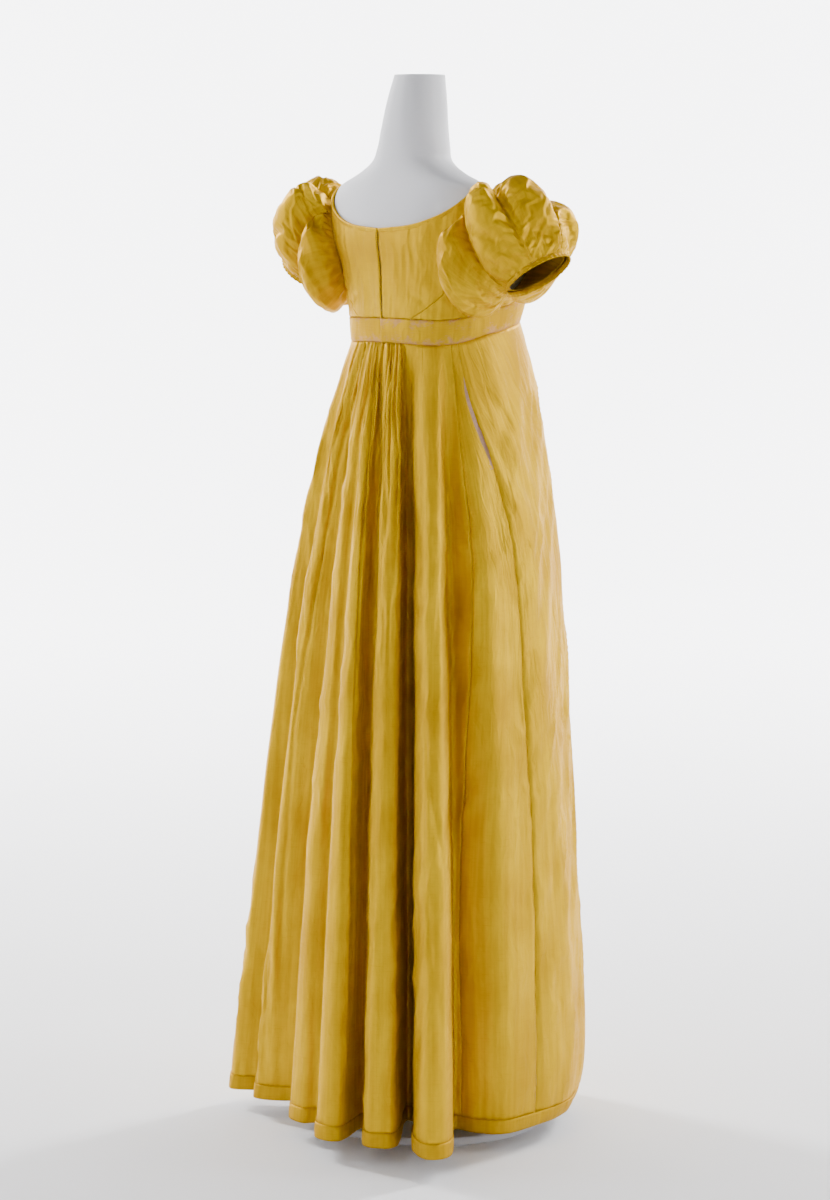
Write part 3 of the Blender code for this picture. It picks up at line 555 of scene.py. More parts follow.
def normals(points, ring, turn):
    """Return unit normals of a grid of points whose last column repeats the first in a ring."""
    if ring:
        once = points[:, :-1]
        along = np.roll(once, -1, axis=1) - np.roll(once, 1, axis=1)
        along = np.concatenate([along, along[:, :1]], axis=1)
    else:
        along = np.gradient(points, axis=1)
    down = np.gradient(points, axis=0)
    normal = np.cross(along, down) * turn
    return normal / np.maximum(np.linalg.norm(normal, axis=2), 1e-12)[:, :, None]


def steps_between(points, axis):
    """Return running lengths along one axis of a grid of points."""
    length = np.linalg.norm(np.diff(points, axis=axis), axis=2)
    start = np.zeros_like(np.take(length, [0], axis=axis))
    return np.cumsum(np.concatenate([start, length], axis=axis), axis=axis)


def mirrored(points):
    """Return points mirrored to the wearer's other side."""
    return points * np.array((-1.0, 1.0, 1.0))


def finish(working, name, look, stands_for=(), thickness=0.0):
    """Make an object from a bmesh, and let it ride on the model in place of its solids."""
    mesh = bpy.data.meshes.new(name)
    working.to_mesh(mesh)
    working.free()
    mesh.materials.append(look)
    mesh.shade_smooth()
    piece = bpy.data.objects.new(name, mesh)
    bpy.context.scene.collection.objects.link(piece)
    if thickness:
        shell = piece.modifiers.new("Thickness", "SOLIDIFY")
        shell.thickness = thickness
        shell.offset = -1
    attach(piece, "root")
    if stands_for:
        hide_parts(*stands_for)
    return piece


def cloth(name, points, look, slot, stands_for=(), ring=False, flip=False, thickness=None):
    """Make a sheet of cloth from a grid of points. Its UV map holds metres of flat cloth."""
    rows, columns = points.shape[:2]
    working = bmesh.new()
    working.loops.layers.uv.new("cloth")
    bmesh.ops.create_grid(working, x_segments=columns - 1, y_segments=rows - 1, size=0.5, calc_uvs=True)
    for vert, place in zip(working.verts, points.reshape(-1, 3)):
        vert.co = place
    if ring:
        bmesh.ops.remove_doubles(working, verts=working.verts, dist=0.01 * MM)
    if flip:
        bmesh.ops.reverse_faces(working, faces=working.faces)
    thickness = sizes().cloth if thickness is None else thickness
    piece = finish(working, name, look, stands_for, thickness)
    across = steps_between(points, 1)
    widest = across[np.argmax(across[:, -1])]
    down = steps_between(points, 0).mean(axis=1)
    layer = piece.data.uv_layers["cloth"].data
    flat = np.empty(len(layer) * 2)
    layer.foreach_get("uv", flat)
    u, v = flat.reshape(-1, 2).T
    u = np.interp(u * (columns - 1), np.arange(columns), widest)
    v = np.interp(v * (rows - 1), np.arange(rows), down)
    layer.foreach_set("uv", np.column_stack([u, -v]).astype(np.float32).ravel())
    return piece


def silk_base(name, base, pale, deep, roughness, sheen=0.18):
    """Start a silk material and return it, its tree, shader, UV socket and colour socket.

    Silk taffeta is plain woven from smooth filament, so it has a broad bright lustre, fine
    streaks along the warp and slubs along the weft.
    """
    made = bpy.data.materials.new(name)
    made.use_nodes = True
    tree = made.node_tree
    shader = tree.nodes["Principled BSDF"]
    uv = add(tree, "ShaderNodeTexCoord").outputs["UV"]
    streak_place = add(tree, "ShaderNodeMapping", {"Scale": (1 / 0.009, 1 / 0.30, 1)}, {"Vector": uv})
    streaks = add(tree, "ShaderNodeTexNoise", {"Scale": 1.0, "Detail": 4.0, "Roughness": 0.6},
                  {"Vector": streak_place.outputs["Vector"]})
    slub_place = add(tree, "ShaderNodeMapping", {"Scale": (1 / 0.030, 1 / 0.0016, 1)}, {"Vector": uv})
    slubs = add(tree, "ShaderNodeTexNoise", {"Scale": 1.0, "Detail": 3.0, "Roughness": 0.65},
                {"Vector": slub_place.outputs["Vector"]})
    broad = add(tree, "ShaderNodeTexNoise", {"Scale": 1 / 0.14, "Detail": 2.0}, {"Vector": uv})
    streak_share = add(tree, "ShaderNodeMapRange", {"From Min": 0.38, "From Max": 0.66},
                       {"Value": streaks.outputs["Fac"]})
    tone = add(tree, "ShaderNodeMix", {6: linear(base), 7: linear(pale)},
               {0: streak_share.outputs["Result"]}, data_type="RGBA")
    broad_share = add(tree, "ShaderNodeMapRange",
                      {"From Min": 0.42, "From Max": 0.72, "To Max": 0.55},
                      {"Value": broad.outputs["Fac"]})
    mottled = add(tree, "ShaderNodeMix", {7: linear(deep)},
                  {0: broad_share.outputs["Result"], 6: tone.outputs[2]}, data_type="RGBA")
    slub_share = add(tree, "ShaderNodeMapRange",
                     {"From Min": 0.56, "From Max": 0.80, "To Max": 0.45},
                     {"Value": slubs.outputs["Fac"]})
    flecked = add(tree, "ShaderNodeMix", {7: linear(deep)},
                  {0: slub_share.outputs["Result"], 6: mottled.outputs[2]}, data_type="RGBA")
    thread = sizes().thread
    warp_place = add(tree, "ShaderNodeMapping", {"Scale": (1 / thread, 1 / thread, 1)}, {"Vector": uv})
    warp = add(tree, "ShaderNodeTexWave", {"Scale": 0.5, "Distortion": 0.6, "Detail": 1.0},
               {"Vector": warp_place.outputs["Vector"]}, bands_direction="X")
    weft = add(tree, "ShaderNodeTexWave", {"Scale": 0.5, "Distortion": 0.9, "Detail": 1.0},
               {"Vector": warp_place.outputs["Vector"]}, bands_direction="Y")
    weave = add(tree, "ShaderNodeMath", {}, {0: warp.outputs["Fac"], 1: weft.outputs["Fac"]},
                operation="MULTIPLY")
    crumple_place = add(tree, "ShaderNodeMapping", {"Scale": (1 / 0.017, 1 / 0.045, 1)}, {"Vector": uv})
    crumple = add(tree, "ShaderNodeTexNoise",
                  {"Scale": 1.0, "Detail": 3.0, "Roughness": 0.5, "Distortion": 0.6},
                  {"Vector": crumple_place.outputs["Vector"]})
    weave_bump = add(tree, "ShaderNodeBump", {"Strength": 0.10, "Distance": 0.12 * MM},
                     {"Height": weave.outputs["Value"]})
    slub_bump = add(tree, "ShaderNodeBump", {"Strength": 0.35, "Distance": 0.25 * MM},
                    {"Height": slubs.outputs["Fac"], "Normal": weave_bump.outputs["Normal"]})
    soft_bump = add(tree, "ShaderNodeBump", {"Strength": 0.75, "Distance": 3.0 * MM},
                    {"Height": crumple.outputs["Fac"], "Normal": slub_bump.outputs["Normal"]})
    gloss = add(tree, "ShaderNodeMapRange",
                {"From Min": 0.30, "From Max": 0.75,
                 "To Min": roughness - 0.06, "To Max": roughness + 0.10},
                {"Value": slubs.outputs["Fac"]})
    tree.links.new(gloss.outputs["Result"], shader.inputs["Roughness"])
    tree.links.new(soft_bump.outputs["Normal"], shader.inputs["Normal"])
    shader.inputs["Metallic"].default_value = 0.4
    shader.inputs["Specular IOR Level"].default_value = 0.2
    shader.inputs["Specular Tint"].default_value = linear(LUSTRE_GOLD)
    shader.inputs["IOR"].default_value = 1.38
    shader.inputs["Anisotropic"].default_value = 0.35
    shader.inputs["Sheen Weight"].default_value = sheen
    shader.inputs["Sheen Roughness"].default_value = 0.35
    shader.inputs["Sheen Tint"].default_value = linear(SHEEN_GOLD)
    tree.links.new(flecked.outputs[2], shader.inputs["Base Color"])
    return made, tree, shader, uv, flecked.outputs[2]


def taffeta():
    """Gold silk taffeta, which gives broad soft highlights and orange-brown hollows."""
    if "silk taffeta" in bpy.data.materials:
        return bpy.data.materials["silk taffeta"]
    c = colours()
    return silk_base("silk taffeta", c.silk, c.silk_pale, c.silk_deep, 0.40)[0]


def doubled_taffeta():
    """The same silk doubled over an edge, which looks a little deeper and duller."""
    if "doubled silk taffeta" in bpy.data.materials:
        return bpy.data.materials["doubled silk taffeta"]
    c = colours()
    return silk_base("doubled silk taffeta", DOUBLED_SILK, c.silk, c.silk_deep, 0.46)[0]


def lining_silk():
    """Thin plain silk on the inside, matt beside the taffeta."""
    if "lining silk" in bpy.data.materials:
        return bpy.data.materials["lining silk"]
    return silk_base("lining silk", colours().lining, colours().silk, "#7F5C00", 0.5)[0]


def worn_band_silk():
    """Silk of the waistband, rubbed through to a beige pink ground along its edges."""
    c = colours()
    made, tree, shader, uv, silk = silk_base("worn band silk", c.silk, c.silk_pale, c.silk_deep, 0.5, 0.15)
    split = add(tree, "ShaderNodeSeparateXYZ", {}, {"Vector": uv})
    band = WAIST_TOP - WAIST_BOTTOM
    middle = add(tree, "ShaderNodeMath", {1: band / 2}, {0: split.outputs["Y"]}, operation="ADD")
    away = add(tree, "ShaderNodeMath", {}, {0: middle.outputs["Value"]}, operation="ABSOLUTE")
    edge = add(tree, "ShaderNodeMapRange", {"From Min": 0.12 * band, "From Max": 0.5 * band,
                                            "To Min": -0.12, "To Max": 0.10},
               {"Value": away.outputs["Value"]})
    patches = add(tree, "ShaderNodeTexNoise", {"Scale": 1 / 0.022, "Detail": 3.0}, {"Vector": uv})
    rub_place = add(tree, "ShaderNodeMapping", {"Scale": (1 / 0.0070, 1 / 0.0030, 1),
                                                "Rotation": (0, 0, 0.6)}, {"Vector": uv})
    rub = add(tree, "ShaderNodeTexNoise", {"Scale": 1.0, "Detail": 4.0, "Roughness": 0.75},
              {"Vector": rub_place.outputs["Vector"]})
    both = add(tree, "ShaderNodeMath", {}, {0: patches.outputs["Fac"], 1: edge.outputs["Result"]},
               operation="ADD")
    mixed = add(tree, "ShaderNodeMath", {}, {0: both.outputs["Value"], 1: rub.outputs["Fac"]},
                operation="ADD")
    worn = add(tree, "ShaderNodeMapRange", {"From Min": 1.00, "From Max": 1.17, "To Max": 0.80},
               {"Value": mixed.outputs["Value"]})
    colour = add(tree, "ShaderNodeMix", {7: linear(c.wear)},
                 {0: worn.outputs["Result"], 6: silk}, data_type="RGBA")
    tree.links.new(colour.outputs[2], shader.inputs["Base Color"])
    return made


def linen():
    """Undyed linen tape, plain woven and matt, with its threads standing out."""
    made = bpy.data.materials.new("linen tape")
    made.use_nodes = True
    tree = made.node_tree
    shader = tree.nodes["Principled BSDF"]
    uv = add(tree, "ShaderNodeTexCoord").outputs["UV"]
    place = add(tree, "ShaderNodeMapping", {"Scale": (1 / (0.6 * MM), 1 / (0.6 * MM), 1)}, {"Vector": uv})
    weave = add(tree, "ShaderNodeTexChecker", {"Scale": 1.0}, {"Vector": place.outputs["Vector"]})
    fray = add(tree, "ShaderNodeTexNoise", {"Scale": 1 / 0.004, "Detail": 4.0}, {"Vector": uv})
    colour = add(tree, "ShaderNodeMix", {6: linear(colours().linen), 7: linear("#A87F5C")},
                 {0: fray.outputs["Fac"]}, data_type="RGBA")
    bump = add(tree, "ShaderNodeBump", {"Strength": 0.5, "Distance": 0.2 * MM},
               {"Height": weave.outputs["Fac"]})
    tree.links.new(colour.outputs[2], shader.inputs["Base Color"])
    tree.links.new(bump.outputs["Normal"], shader.inputs["Normal"])
    shader.inputs["Roughness"].default_value = 0.85
    shader.inputs["Sheen Weight"].default_value = 0.2
    return made


def sewing_thread():
    """Silk sewing thread, twisted and softly shining."""
    if "sewing thread" in bpy.data.materials:
        return bpy.data.materials["sewing thread"]
    made = bpy.data.materials.new("sewing thread")
    made.use_nodes = True
    tree = made.node_tree
    shader = tree.nodes["Principled BSDF"]
    place = add(tree, "ShaderNodeTexCoord").outputs["Object"]
    twist = add(tree, "ShaderNodeTexNoise", {"Scale": 1 / 0.003, "Detail": 2.0}, {"Vector": place})
    colour = add(tree, "ShaderNodeMix", {6: linear(colours().thread), 7: linear("#8A641B")},
                 {0: twist.outputs["Fac"]}, data_type="RGBA")
    tree.links.new(colour.outputs[2], shader.inputs["Base Color"])
    shader.inputs["Roughness"].default_value = 0.5
    return made


def form_covering():
    """Painted papier-mache of the form, smooth and matt with the faintest unevenness."""
    made = bpy.data.materials.new("matt painted form")
    made.use_nodes = True
    tree = made.node_tree
    shader = tree.nodes["Principled BSDF"]
    place = add(tree, "ShaderNodeTexCoord").outputs["Object"]
    cloudy = add(tree, "ShaderNodeTexNoise", {"Scale": 1 / 0.12, "Detail": 2.0}, {"Vector": place})
    grain = add(tree, "ShaderNodeTexNoise", {"Scale": 1 / 0.0012, "Detail": 2.0}, {"Vector": place})
    colour = add(tree, "ShaderNodeMix", {6: linear(colours().form), 7: linear("#CFCFD2")},
                 {0: cloudy.outputs["Fac"]}, data_type="RGBA")
    bump = add(tree, "ShaderNodeBump", {"Strength": 0.12, "Distance": 0.1 * MM},
               {"Height": grain.outputs["Fac"]})
    tree.links.new(colour.outputs[2], shader.inputs["Base Color"])
    tree.links.new(bump.outputs["Normal"], shader.inputs["Normal"])
    shader.inputs["Roughness"].default_value = 0.62
    return made


def powder_coat():
    """Powder-coated steel of the stand, with the coat's fine orange-peel."""
    made = bpy.data.materials.new("powder-coated steel")
    made.use_nodes = True
    tree = made.node_tree
    shader = tree.nodes["Principled BSDF"]
    place = add(tree, "ShaderNodeTexCoord").outputs["Object"]
    peel = add(tree, "ShaderNodeTexNoise", {"Scale": 1 / 0.0015, "Detail": 2.0}, {"Vector": place})
    tint = add(tree, "ShaderNodeMix", {6: linear(colours().stand), 7: linear("#C4C4C6")},
               {0: peel.outputs["Fac"]}, data_type="RGBA")
    bump = add(tree, "ShaderNodeBump", {"Strength": 0.3, "Distance": 0.1 * MM},
               {"Height": peel.outputs["Fac"]})
    tree.links.new(tint.outputs[2], shader.inputs["Base Color"])
    tree.links.new(bump.outputs["Normal"], shader.inputs["Normal"])
    shader.inputs["Roughness"].default_value = 0.45
    return made


def crease_line(across, down, start, end, width, height):
    """Return the height of one soft crease at places given by metres across and down."""
    start, end = np.array(start), np.array(end)
    way = end - start
    share = ((across - start[0]) * way[0] + (down - start[1]) * way[1]) / (way @ way)
    inside = np.clip(share, 0, 1)
    off = np.hypot(across - start[0] - inside * way[0], down - start[1] - inside * way[1])
    swell = np.clip(1.2 * np.sin(np.pi * np.clip(share, 0.02, 0.98)) ** 0.7, 0, 1)
    return height * swell * np.exp(-(off / width) ** 2)


def skirt_relief(arcs, drops, across):
    """Return the height of the skirt's creases above its plain surface."""
    turn = wrapped(arcs)
    stretch = np.gradient(across, axis=1) / np.maximum(np.gradient(arcs, axis=1), 1e-9)
    relief = np.zeros(arcs.shape)
    for crease in SKIRT_CREASES:
        share = (drops - crease.drop_top) / (crease.drop_bottom - crease.drop_top)
        centre = crease.arc_top + (crease.arc_bottom - crease.arc_top) * np.clip(share, 0, 1)
        off = wrapped(turn - centre) * stretch
        swell = np.where((share > 0) & (share < 1), np.sin(np.pi * np.clip(share, 0, 1)), 0) ** 0.7
        relief += crease.height * swell * np.exp(-(off / crease.width) ** 2)
    metres = drops * SKIRT_LENGTH
    u = turn * (1 + 3.5 * drops)
    long_folds = noise(u / (30 * MM), metres / 0.42, 3)
    crumples = crisp_noise(u / (26 * MM) + metres / 0.2, metres / (62 * MM), 5)
    fine = crisp_noise(u / (11 * MM) - metres / 0.09, metres / (34 * MM), 6)
    where = np.clip(noise(u / 0.13, metres / 0.16, 8) + 0.45, 0, 1)
    calm = np.clip(drops / 0.08, 0, 1)
    relief += calm * (1.5 * MM * long_folds + (1.7 * MM * crumples + 0.45 * MM * fine) * where)
    crinkled = np.exp(-((turn + 72 * MM) / (24 * MM)) ** 2) * np.clip((drops - 0.72) / 0.12, 0, 1)
    relief += 1.8 * MM * crinkled * crisp_noise(u / (16 * MM), metres / (24 * MM) + u / 0.05, 9)
    return relief * sizes().crease


def seam_roll(distance, along, seed):
    """Return the height of the cloth beside a seam: rolled in at it, puckered next to it."""
    roll = -0.55 * MM * np.exp(-(distance / (1.1 * MM)) ** 2)
    pucker = noise(along / (9 * MM), np.zeros_like(along), seed) * 0.8 * MM
    return roll + pucker * np.exp(-(distance / (9 * MM)) ** 2)


def skirt_rows():
    """Return the drops of the skirt's rows, closer together at the waist."""
    last = 1 - (HEM_BAND - TUCK_UNDER) / SKIRT_LENGTH
    even = np.linspace(0, 1, sizes().rows)
    return last * (0.35 * even ** 2 + 0.65 * even)


def skirt_piece(name, arcs, stands_for, seams):
    """Make one breadth of the skirt with its creases and its rolled seam edges."""
    drops = np.broadcast_to(skirt_rows()[:, None], arcs.shape)
    points = skirt(arcs, drops)
    across = steps_between(points, 1)
    down = drops * SKIRT_LENGTH
    relief = skirt_relief(arcs, drops, across)
    for distance, seed in zip((across, across[:, -1:] - across), seams):
        relief = relief + seam_roll(distance, down, seed)
    under = np.clip((down - SKIRT_LENGTH + HEM_BAND + TUCK_UNDER) / TUCK_UNDER, 0, 1)
    relief = relief * (1 - under) - 0.4 * MM * under
    edge = np.clip(drops / 0.006, 0, 1)
    points = points + skirt_normals(arcs, drops) * (relief * edge)[:, :, None]
    piece = cloth(name, points, taffeta(), "silk", stands_for, flip=True)
    return piece


def slit_opening(drops):
    """Return the slit's width at each drop."""
    inside = np.clip((drops - SLIT_TOP) * (SLIT_BOTTOM - drops), 0, None)
    return SLIT_WIDTH * inside / (SLIT_BOTTOM - SLIT_TOP) ** 2 * 4


def seam_arc(seam, drops):
    """Return the arc of a seam at each drop."""
    return smooth([p.drop for p in seam], [p.arc for p in seam], drops)[:, 0]


def build_skirt():
    """Make the back, side and front breadths of the skirt."""
    rows = skirt_rows()
    half = SEAM_GAP / 6
    back_seam, front_seam = seam_arc(SEAM_BACK, rows), seam_arc(SEAM_FRONT, rows)
    gathered = GATHER_START + np.arange(GATHER_COUNT * GATHER_COLUMNS + 1) * GATHER_PITCH / GATHER_COLUMNS
    before, after = np.linspace(0, 1, 70)[:-1], np.linspace(0, 1, 110)[1:]
    end = (back_seam - half)[:, None]
    arcs = np.concatenate([gathered[0] * before - end * (1 - before),
                           np.broadcast_to(gathered, (len(rows), len(gathered))),
                           gathered[-1] * (1 - after) + end * after], axis=1)
    skirt_piece("skirt_back_silk", arcs, ["skirt_back"], (11, 12))
    scale = np.linalg.norm(skirt(front_seam + MM, rows) - skirt(front_seam, rows), axis=1) / MM
    steps = np.linspace(0, 1, 28)
    for side, cut, seams in (("right", slit_opening(rows) / scale, (12, 13)),
                             ("left", 0 * rows, (14, 11))):
        near, far = back_seam + half, front_seam - half - cut
        arcs = near[:, None] * (1 - steps) + far[:, None] * steps
        if side == "left":
            arcs = -arcs[:, ::-1]
        skirt_piece("skirt_side_" + side + "_silk", arcs, ["skirt_side_" + side], seams)
    steps = np.linspace(0, 1, 190)
    near, far = front_seam + half, 2 * WAIST_HALF - front_seam - half
    arcs = near[:, None] * (1 - steps) + far[:, None] * steps
    skirt_piece("skirt_front_silk", arcs, ["skirt_front"], (13, 14))


def build_hem():
    """Make the hem band, a doubled strip with a crisp upper edge and small stitch dimples."""
    corner = SEAM_BACK[-1].arc
    back = np.arange(-corner, corner, 0.75 * MM)
    front = np.linspace(corner, 2 * WAIST_HALF - corner, 260)
    arcs = np.concatenate([back, front])
    top = 1 - HEM_BAND / SKIRT_LENGTH
    drops = np.concatenate([[top], np.linspace(top, 1, 9)[1:]])
    grid, drops = np.broadcast_arrays(arcs[None], drops[:, None])
    points = skirt(grid, drops, SEAM_GAP / 2)
    across = steps_between(points, 1)
    share = (drops - top) / (1 - top)
    dimple = 0.5 * MM * np.cos(2 * np.pi * across / (9 * MM)) * np.exp(-share / 0.12)
    uneven = 0.5 * MM * noise(across / (16 * MM), share * 2, 21) * share
    relief = 0.8 * MM + 0.5 * MM * np.sin(np.pi * np.clip(share, 0, 1)) + dimple * 0.4 + uneven
    points = points + skirt_normals(grid, drops) * relief[:, :, None]
    points[:, -1] = points[:, 0]
    piece = cloth("hem_band_silk", points, doubled_taffeta(), "silk_trim", ["hem_band"], ring=True,
                  flip=True, thickness=1.4 * MM)


def build_facing():
    """Make the facing behind the slit, with a frayed edge."""
    drops = np.linspace(0.032, 0.160, 60)[:, None]
    arcs = seam_arc(SEAM_FRONT, drops[:, 0])[:, None] + np.linspace(-7, 3, 14)[None] * MM
    points = skirt(arcs, drops)
    fray = 0.25 * MM * noise(drops * 700, arcs / MM, 31)
    level = normals(points, False, -1)
    points = points - level * (2.4 * MM + fray)[:, :, None]
    piece = cloth("placket_facing_linen", points, linen(), "facing_linen", ["placket_facing"],
                  flip=True, thickness=0.8 * MM)


def bodice_edges(working):
    """Return a search tree of the points on the open edges of a mesh."""
    edge_points = [vert.co.copy() for vert in working.verts if vert.is_boundary]
    tree = KDTree(len(edge_points))
    for index, place in enumerate(edge_points):
        tree.insert(place, index)
    tree.balance()
    return tree


def on_outside(points):
    """Tell which points lie on the outer side of the bodice's wall."""
    width, centre, front, back = form_sections(points[:, 2])
    depth = np.where(points[:, 1] >= centre, back, front)
    misses = []
    for gap in (BODICE_OUTSIDE, EASE):
        x = np.abs(points[:, 0]) / (width + gap)
        y = np.abs(points[:, 1] - centre) / (depth + gap)
        misses.append(np.abs(x ** SQUARENESS + y ** SQUARENESS - 1))
    return misses[0] < misses[1]


def bodice_relief(phi, z, edge):
    """Return the height of the bodice's creases and seam edges."""
    relief = np.zeros(len(phi))
    radius = 140 * MM
    turn = np.abs(phi)
    for crease in BODICE_CREASES:
        start = (math.radians(crease.phi) * radius, crease.z)
        end = (math.radians(crease.to_phi) * radius, crease.to_z)
        relief += crease_line(np.radians(turn) * radius, z, start, end, crease.width, crease.height)
    relief += 0.7 * MM * noise(phi / 7 + 40, z / (40 * MM), 41)
    relief += 0.45 * MM * crisp_noise(phi / 3.2 + 40, z / (50 * MM), 42)
    relief *= sizes().crease
    roll = -0.7 * MM * np.exp(-(edge / (1.1 * MM)) ** 2)
    pucker = 0.45 * MM * noise(z / (7 * MM), phi / 5 + 40, 43) * np.exp(-(edge / (8 * MM)) ** 2)
    return relief + roll + pucker


def bodice_piece(node, lap=0.0):
    """Make one bodice panel from the outline of its solid; lap is a stitched fold's width."""
    working = bmesh.new()
    working.from_mesh(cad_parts[node].data)
    bmesh.ops.remove_doubles(working, verts=working.verts, dist=0.02 * MM)
    points = np.array([vert.co for vert in working.verts])
    inner = [vert for vert, outside in zip(working.verts, on_outside(points)) if not outside]
    bmesh.ops.delete(working, geom=inner, context="VERTS")
    bmesh.ops.subdivide_edges(working, edges=working.edges, cuts=6, use_grid_fill=True)
    points = np.array([vert.co for vert in working.verts])
    phi, z = body_phi(points), points[:, 2]
    edges = bodice_edges(working)
    away = np.array([edges.find(place)[2] for place in points])
    relief = bodice_relief(phi, z, away)
    if lap:
        off = np.abs(np.radians(phi)) * 138 * MM
        relief += 0.7 * MM / (1 + np.exp((off - lap) / (0.35 * MM)))
        relief -= 0.6 * MM * np.exp(-((off - lap - 0.5 * MM) / (0.8 * MM)) ** 2)
    places = body(phi, z, BODICE_OUTSIDE + relief)
    for vert, place in zip(working.verts, places):
        vert.co = place
    uv = working.loops.layers.uv.new("cloth")
    for face in working.faces:
        for loop in face.loops:
            index = loop.vert.index
            loop[uv].uv = (math.radians(phi[index]) * 140 * MM, z[index])
    piece = finish(working, node + "_silk", taffeta(), [node], sizes().cloth)


def build_bodice():
    """Make the five panels of the bodice."""
    bodice_piece("bodice_front")
    for side, lap in (("left", 7 * MM), ("right", 0.0)):
        bodice_piece("bodice_back_" + side, lap)
        bodice_piece("bodice_side_back_" + side)


def neckline(phi):
    """Return the neckline's height at angles phi from 0 to 360."""
    turn = 180 - np.abs(180 - phi)
    return smooth([p.phi for p in NECKLINE], [p.z for p in NECKLINE], turn)[:, 0]


def build_neck_binding():
    """Make the narrow binding with a cord inside its upper edge."""
    phi = np.linspace(0.12, 359.88, 521)
    z = neckline(phi)
    inside = np.array([(down * MM, gap * MM) for down, gap in NECK_BINDING_SECTION])
    depth, gap = inside[:, :1], inside[:, 1:]
    pucker = 0.25 * MM * noise(phi / 1.3, np.zeros_like(phi), 51)[None] * (gap > BODICE_OUTSIDE)
    points = body(phi[None], z[None] - depth, gap + pucker)
    piece = cloth("neck_binding_silk", points, taffeta(), "silk_trim", ["neck_binding"],
                  flip=True, thickness=0.8 * MM)


def build_waistband():
    """Make the waistband, softly uneven, with turned edges and a lapped end."""
    phi = np.linspace(-0.4, 359.5, 561)
    top, bottom = waist(phi, WAIST_TOP) + 0.4 * MM, waist(phi, WAIST_BOTTOM) - 0.8 * MM
    section = np.linspace(0, 1, 13)[:, None]
    z = top * (1 - section) + bottom * section
    edge = np.minimum(section, 1 - section)
    turned = -0.7 * MM * np.exp(-(edge / 0.035) ** 2)
    uneven = 0.45 * MM * noise(phi[None] / 6, section * 2.2, 61)
    lap = 0.9 * MM * np.exp(-np.clip(phi[None], 0, None) / 1.2)
    points = body(phi[None], z, BODICE_OUTSIDE + 0.9 * MM + turned + uneven + lap)
    piece = cloth("waistband_silk", points, worn_band_silk(), "band_silk", ["waistband"],
                  flip=True, thickness=1.0 * MM)


def armhole(psi, scale=1.0):
    """Return phi and z of the armhole at angles psi."""
    psi = np.radians(np.asarray(psi, float))
    phi = ARMHOLE_PHI - ARMHOLE_HALF_WIDTH * scale * np.sin(psi)
    return phi, ARMHOLE_Z + ARMHOLE_HALF_HEIGHT * scale * np.cos(psi)


def cuff_ring(psi, radius, along=0.0):
    """Return points of the right cuff at angles psi, moved along the cuff's axis."""
    psi = np.radians(np.asarray(psi, float))[..., None]
    radial = CUFF_UP * np.cos(psi) + CUFF_BACK * np.sin(psi)
    return CUFF_CENTRE + radial * np.asarray(radius)[..., None] + CUFF_NORMAL * along


def sleeve_surface(armhole_psi, cuff_psi, puff_armhole, puff_cuff, lap, rows, shrink=0.0):
    """Return a grid of points that arch from the armhole to the cuff of the right sleeve."""
    phi, z = armhole(armhole_psi, 1.06 - shrink / (50 * MM))
    start = body(phi, z, BODICE_OUTSIDE + SEAM_GAP + SLEEVE_LIFT)
    end = cuff_ring(cuff_psi, CUFF_RADIUS - shrink, -CUFF_HEIGHT)
    middle = body(ARMHOLE_PHI, ARMHOLE_Z, BODICE_OUTSIDE)[0]
    radial = start - middle
    radial[:, 0] = 0
    radial /= np.linalg.norm(radial, axis=1)[:, None]
    lap = np.asarray(lap)[:, None]
    leave = lap * radial + np.sqrt(1 - lap ** 2) * np.array((-1.0, 0, 0))
    spread = end - (CUFF_CENTRE - CUFF_NORMAL * CUFF_HEIGHT)
    spread /= np.linalg.norm(spread, axis=1)[:, None]
    arrive = 0.85 * spread - 0.5 * CUFF_NORMAL
    near = start + leave * np.asarray(puff_armhole)[:, None]
    far = end + arrive * np.asarray(puff_cuff)[:, None]
    w = rows[:, None, None]
    return ((1 - w) ** 3 * start + 3 * (1 - w) ** 2 * w * near
            + 3 * (1 - w) * w * w * far + w ** 3 * end)


def sleeve_columns():
    """Return the angles, fullnesses and lap of each column, and its lobe and place in it."""
    columns = []
    count = len(SLEEVE_RIBS)
    for index, rib in enumerate(SLEEVE_RIBS):
        after = SLEEVE_RIBS[(index + 1) % count]
        turn = 360 if index == count - 1 else 0
        first = np.array((rib.armhole, rib.cuff)) + RIB_HALF_ANGLE
        last = np.array((after.armhole, after.cuff)) + turn - RIB_HALF_ANGLE
        for step in range(rib.columns + 1):
            t = step / rib.columns
            swell = np.sin(np.pi * t) ** 0.48 if 0 < t < 1 else 0.0
            angles = first + (last - first) * t
            floor = (rib.rib_puff + (after.rib_puff - rib.rib_puff) * t) * RIB_SINK
            puffs = [floor + (puff - floor) * swell for puff in (rib.puff_armhole, rib.puff_cuff)]
            lap = rib.lap + (after.lap - rib.lap) * (3 * t * t - 2 * t ** 3)
            columns.append((*angles, *puffs, lap, index, t))
    return np.array(columns + [columns[0]])


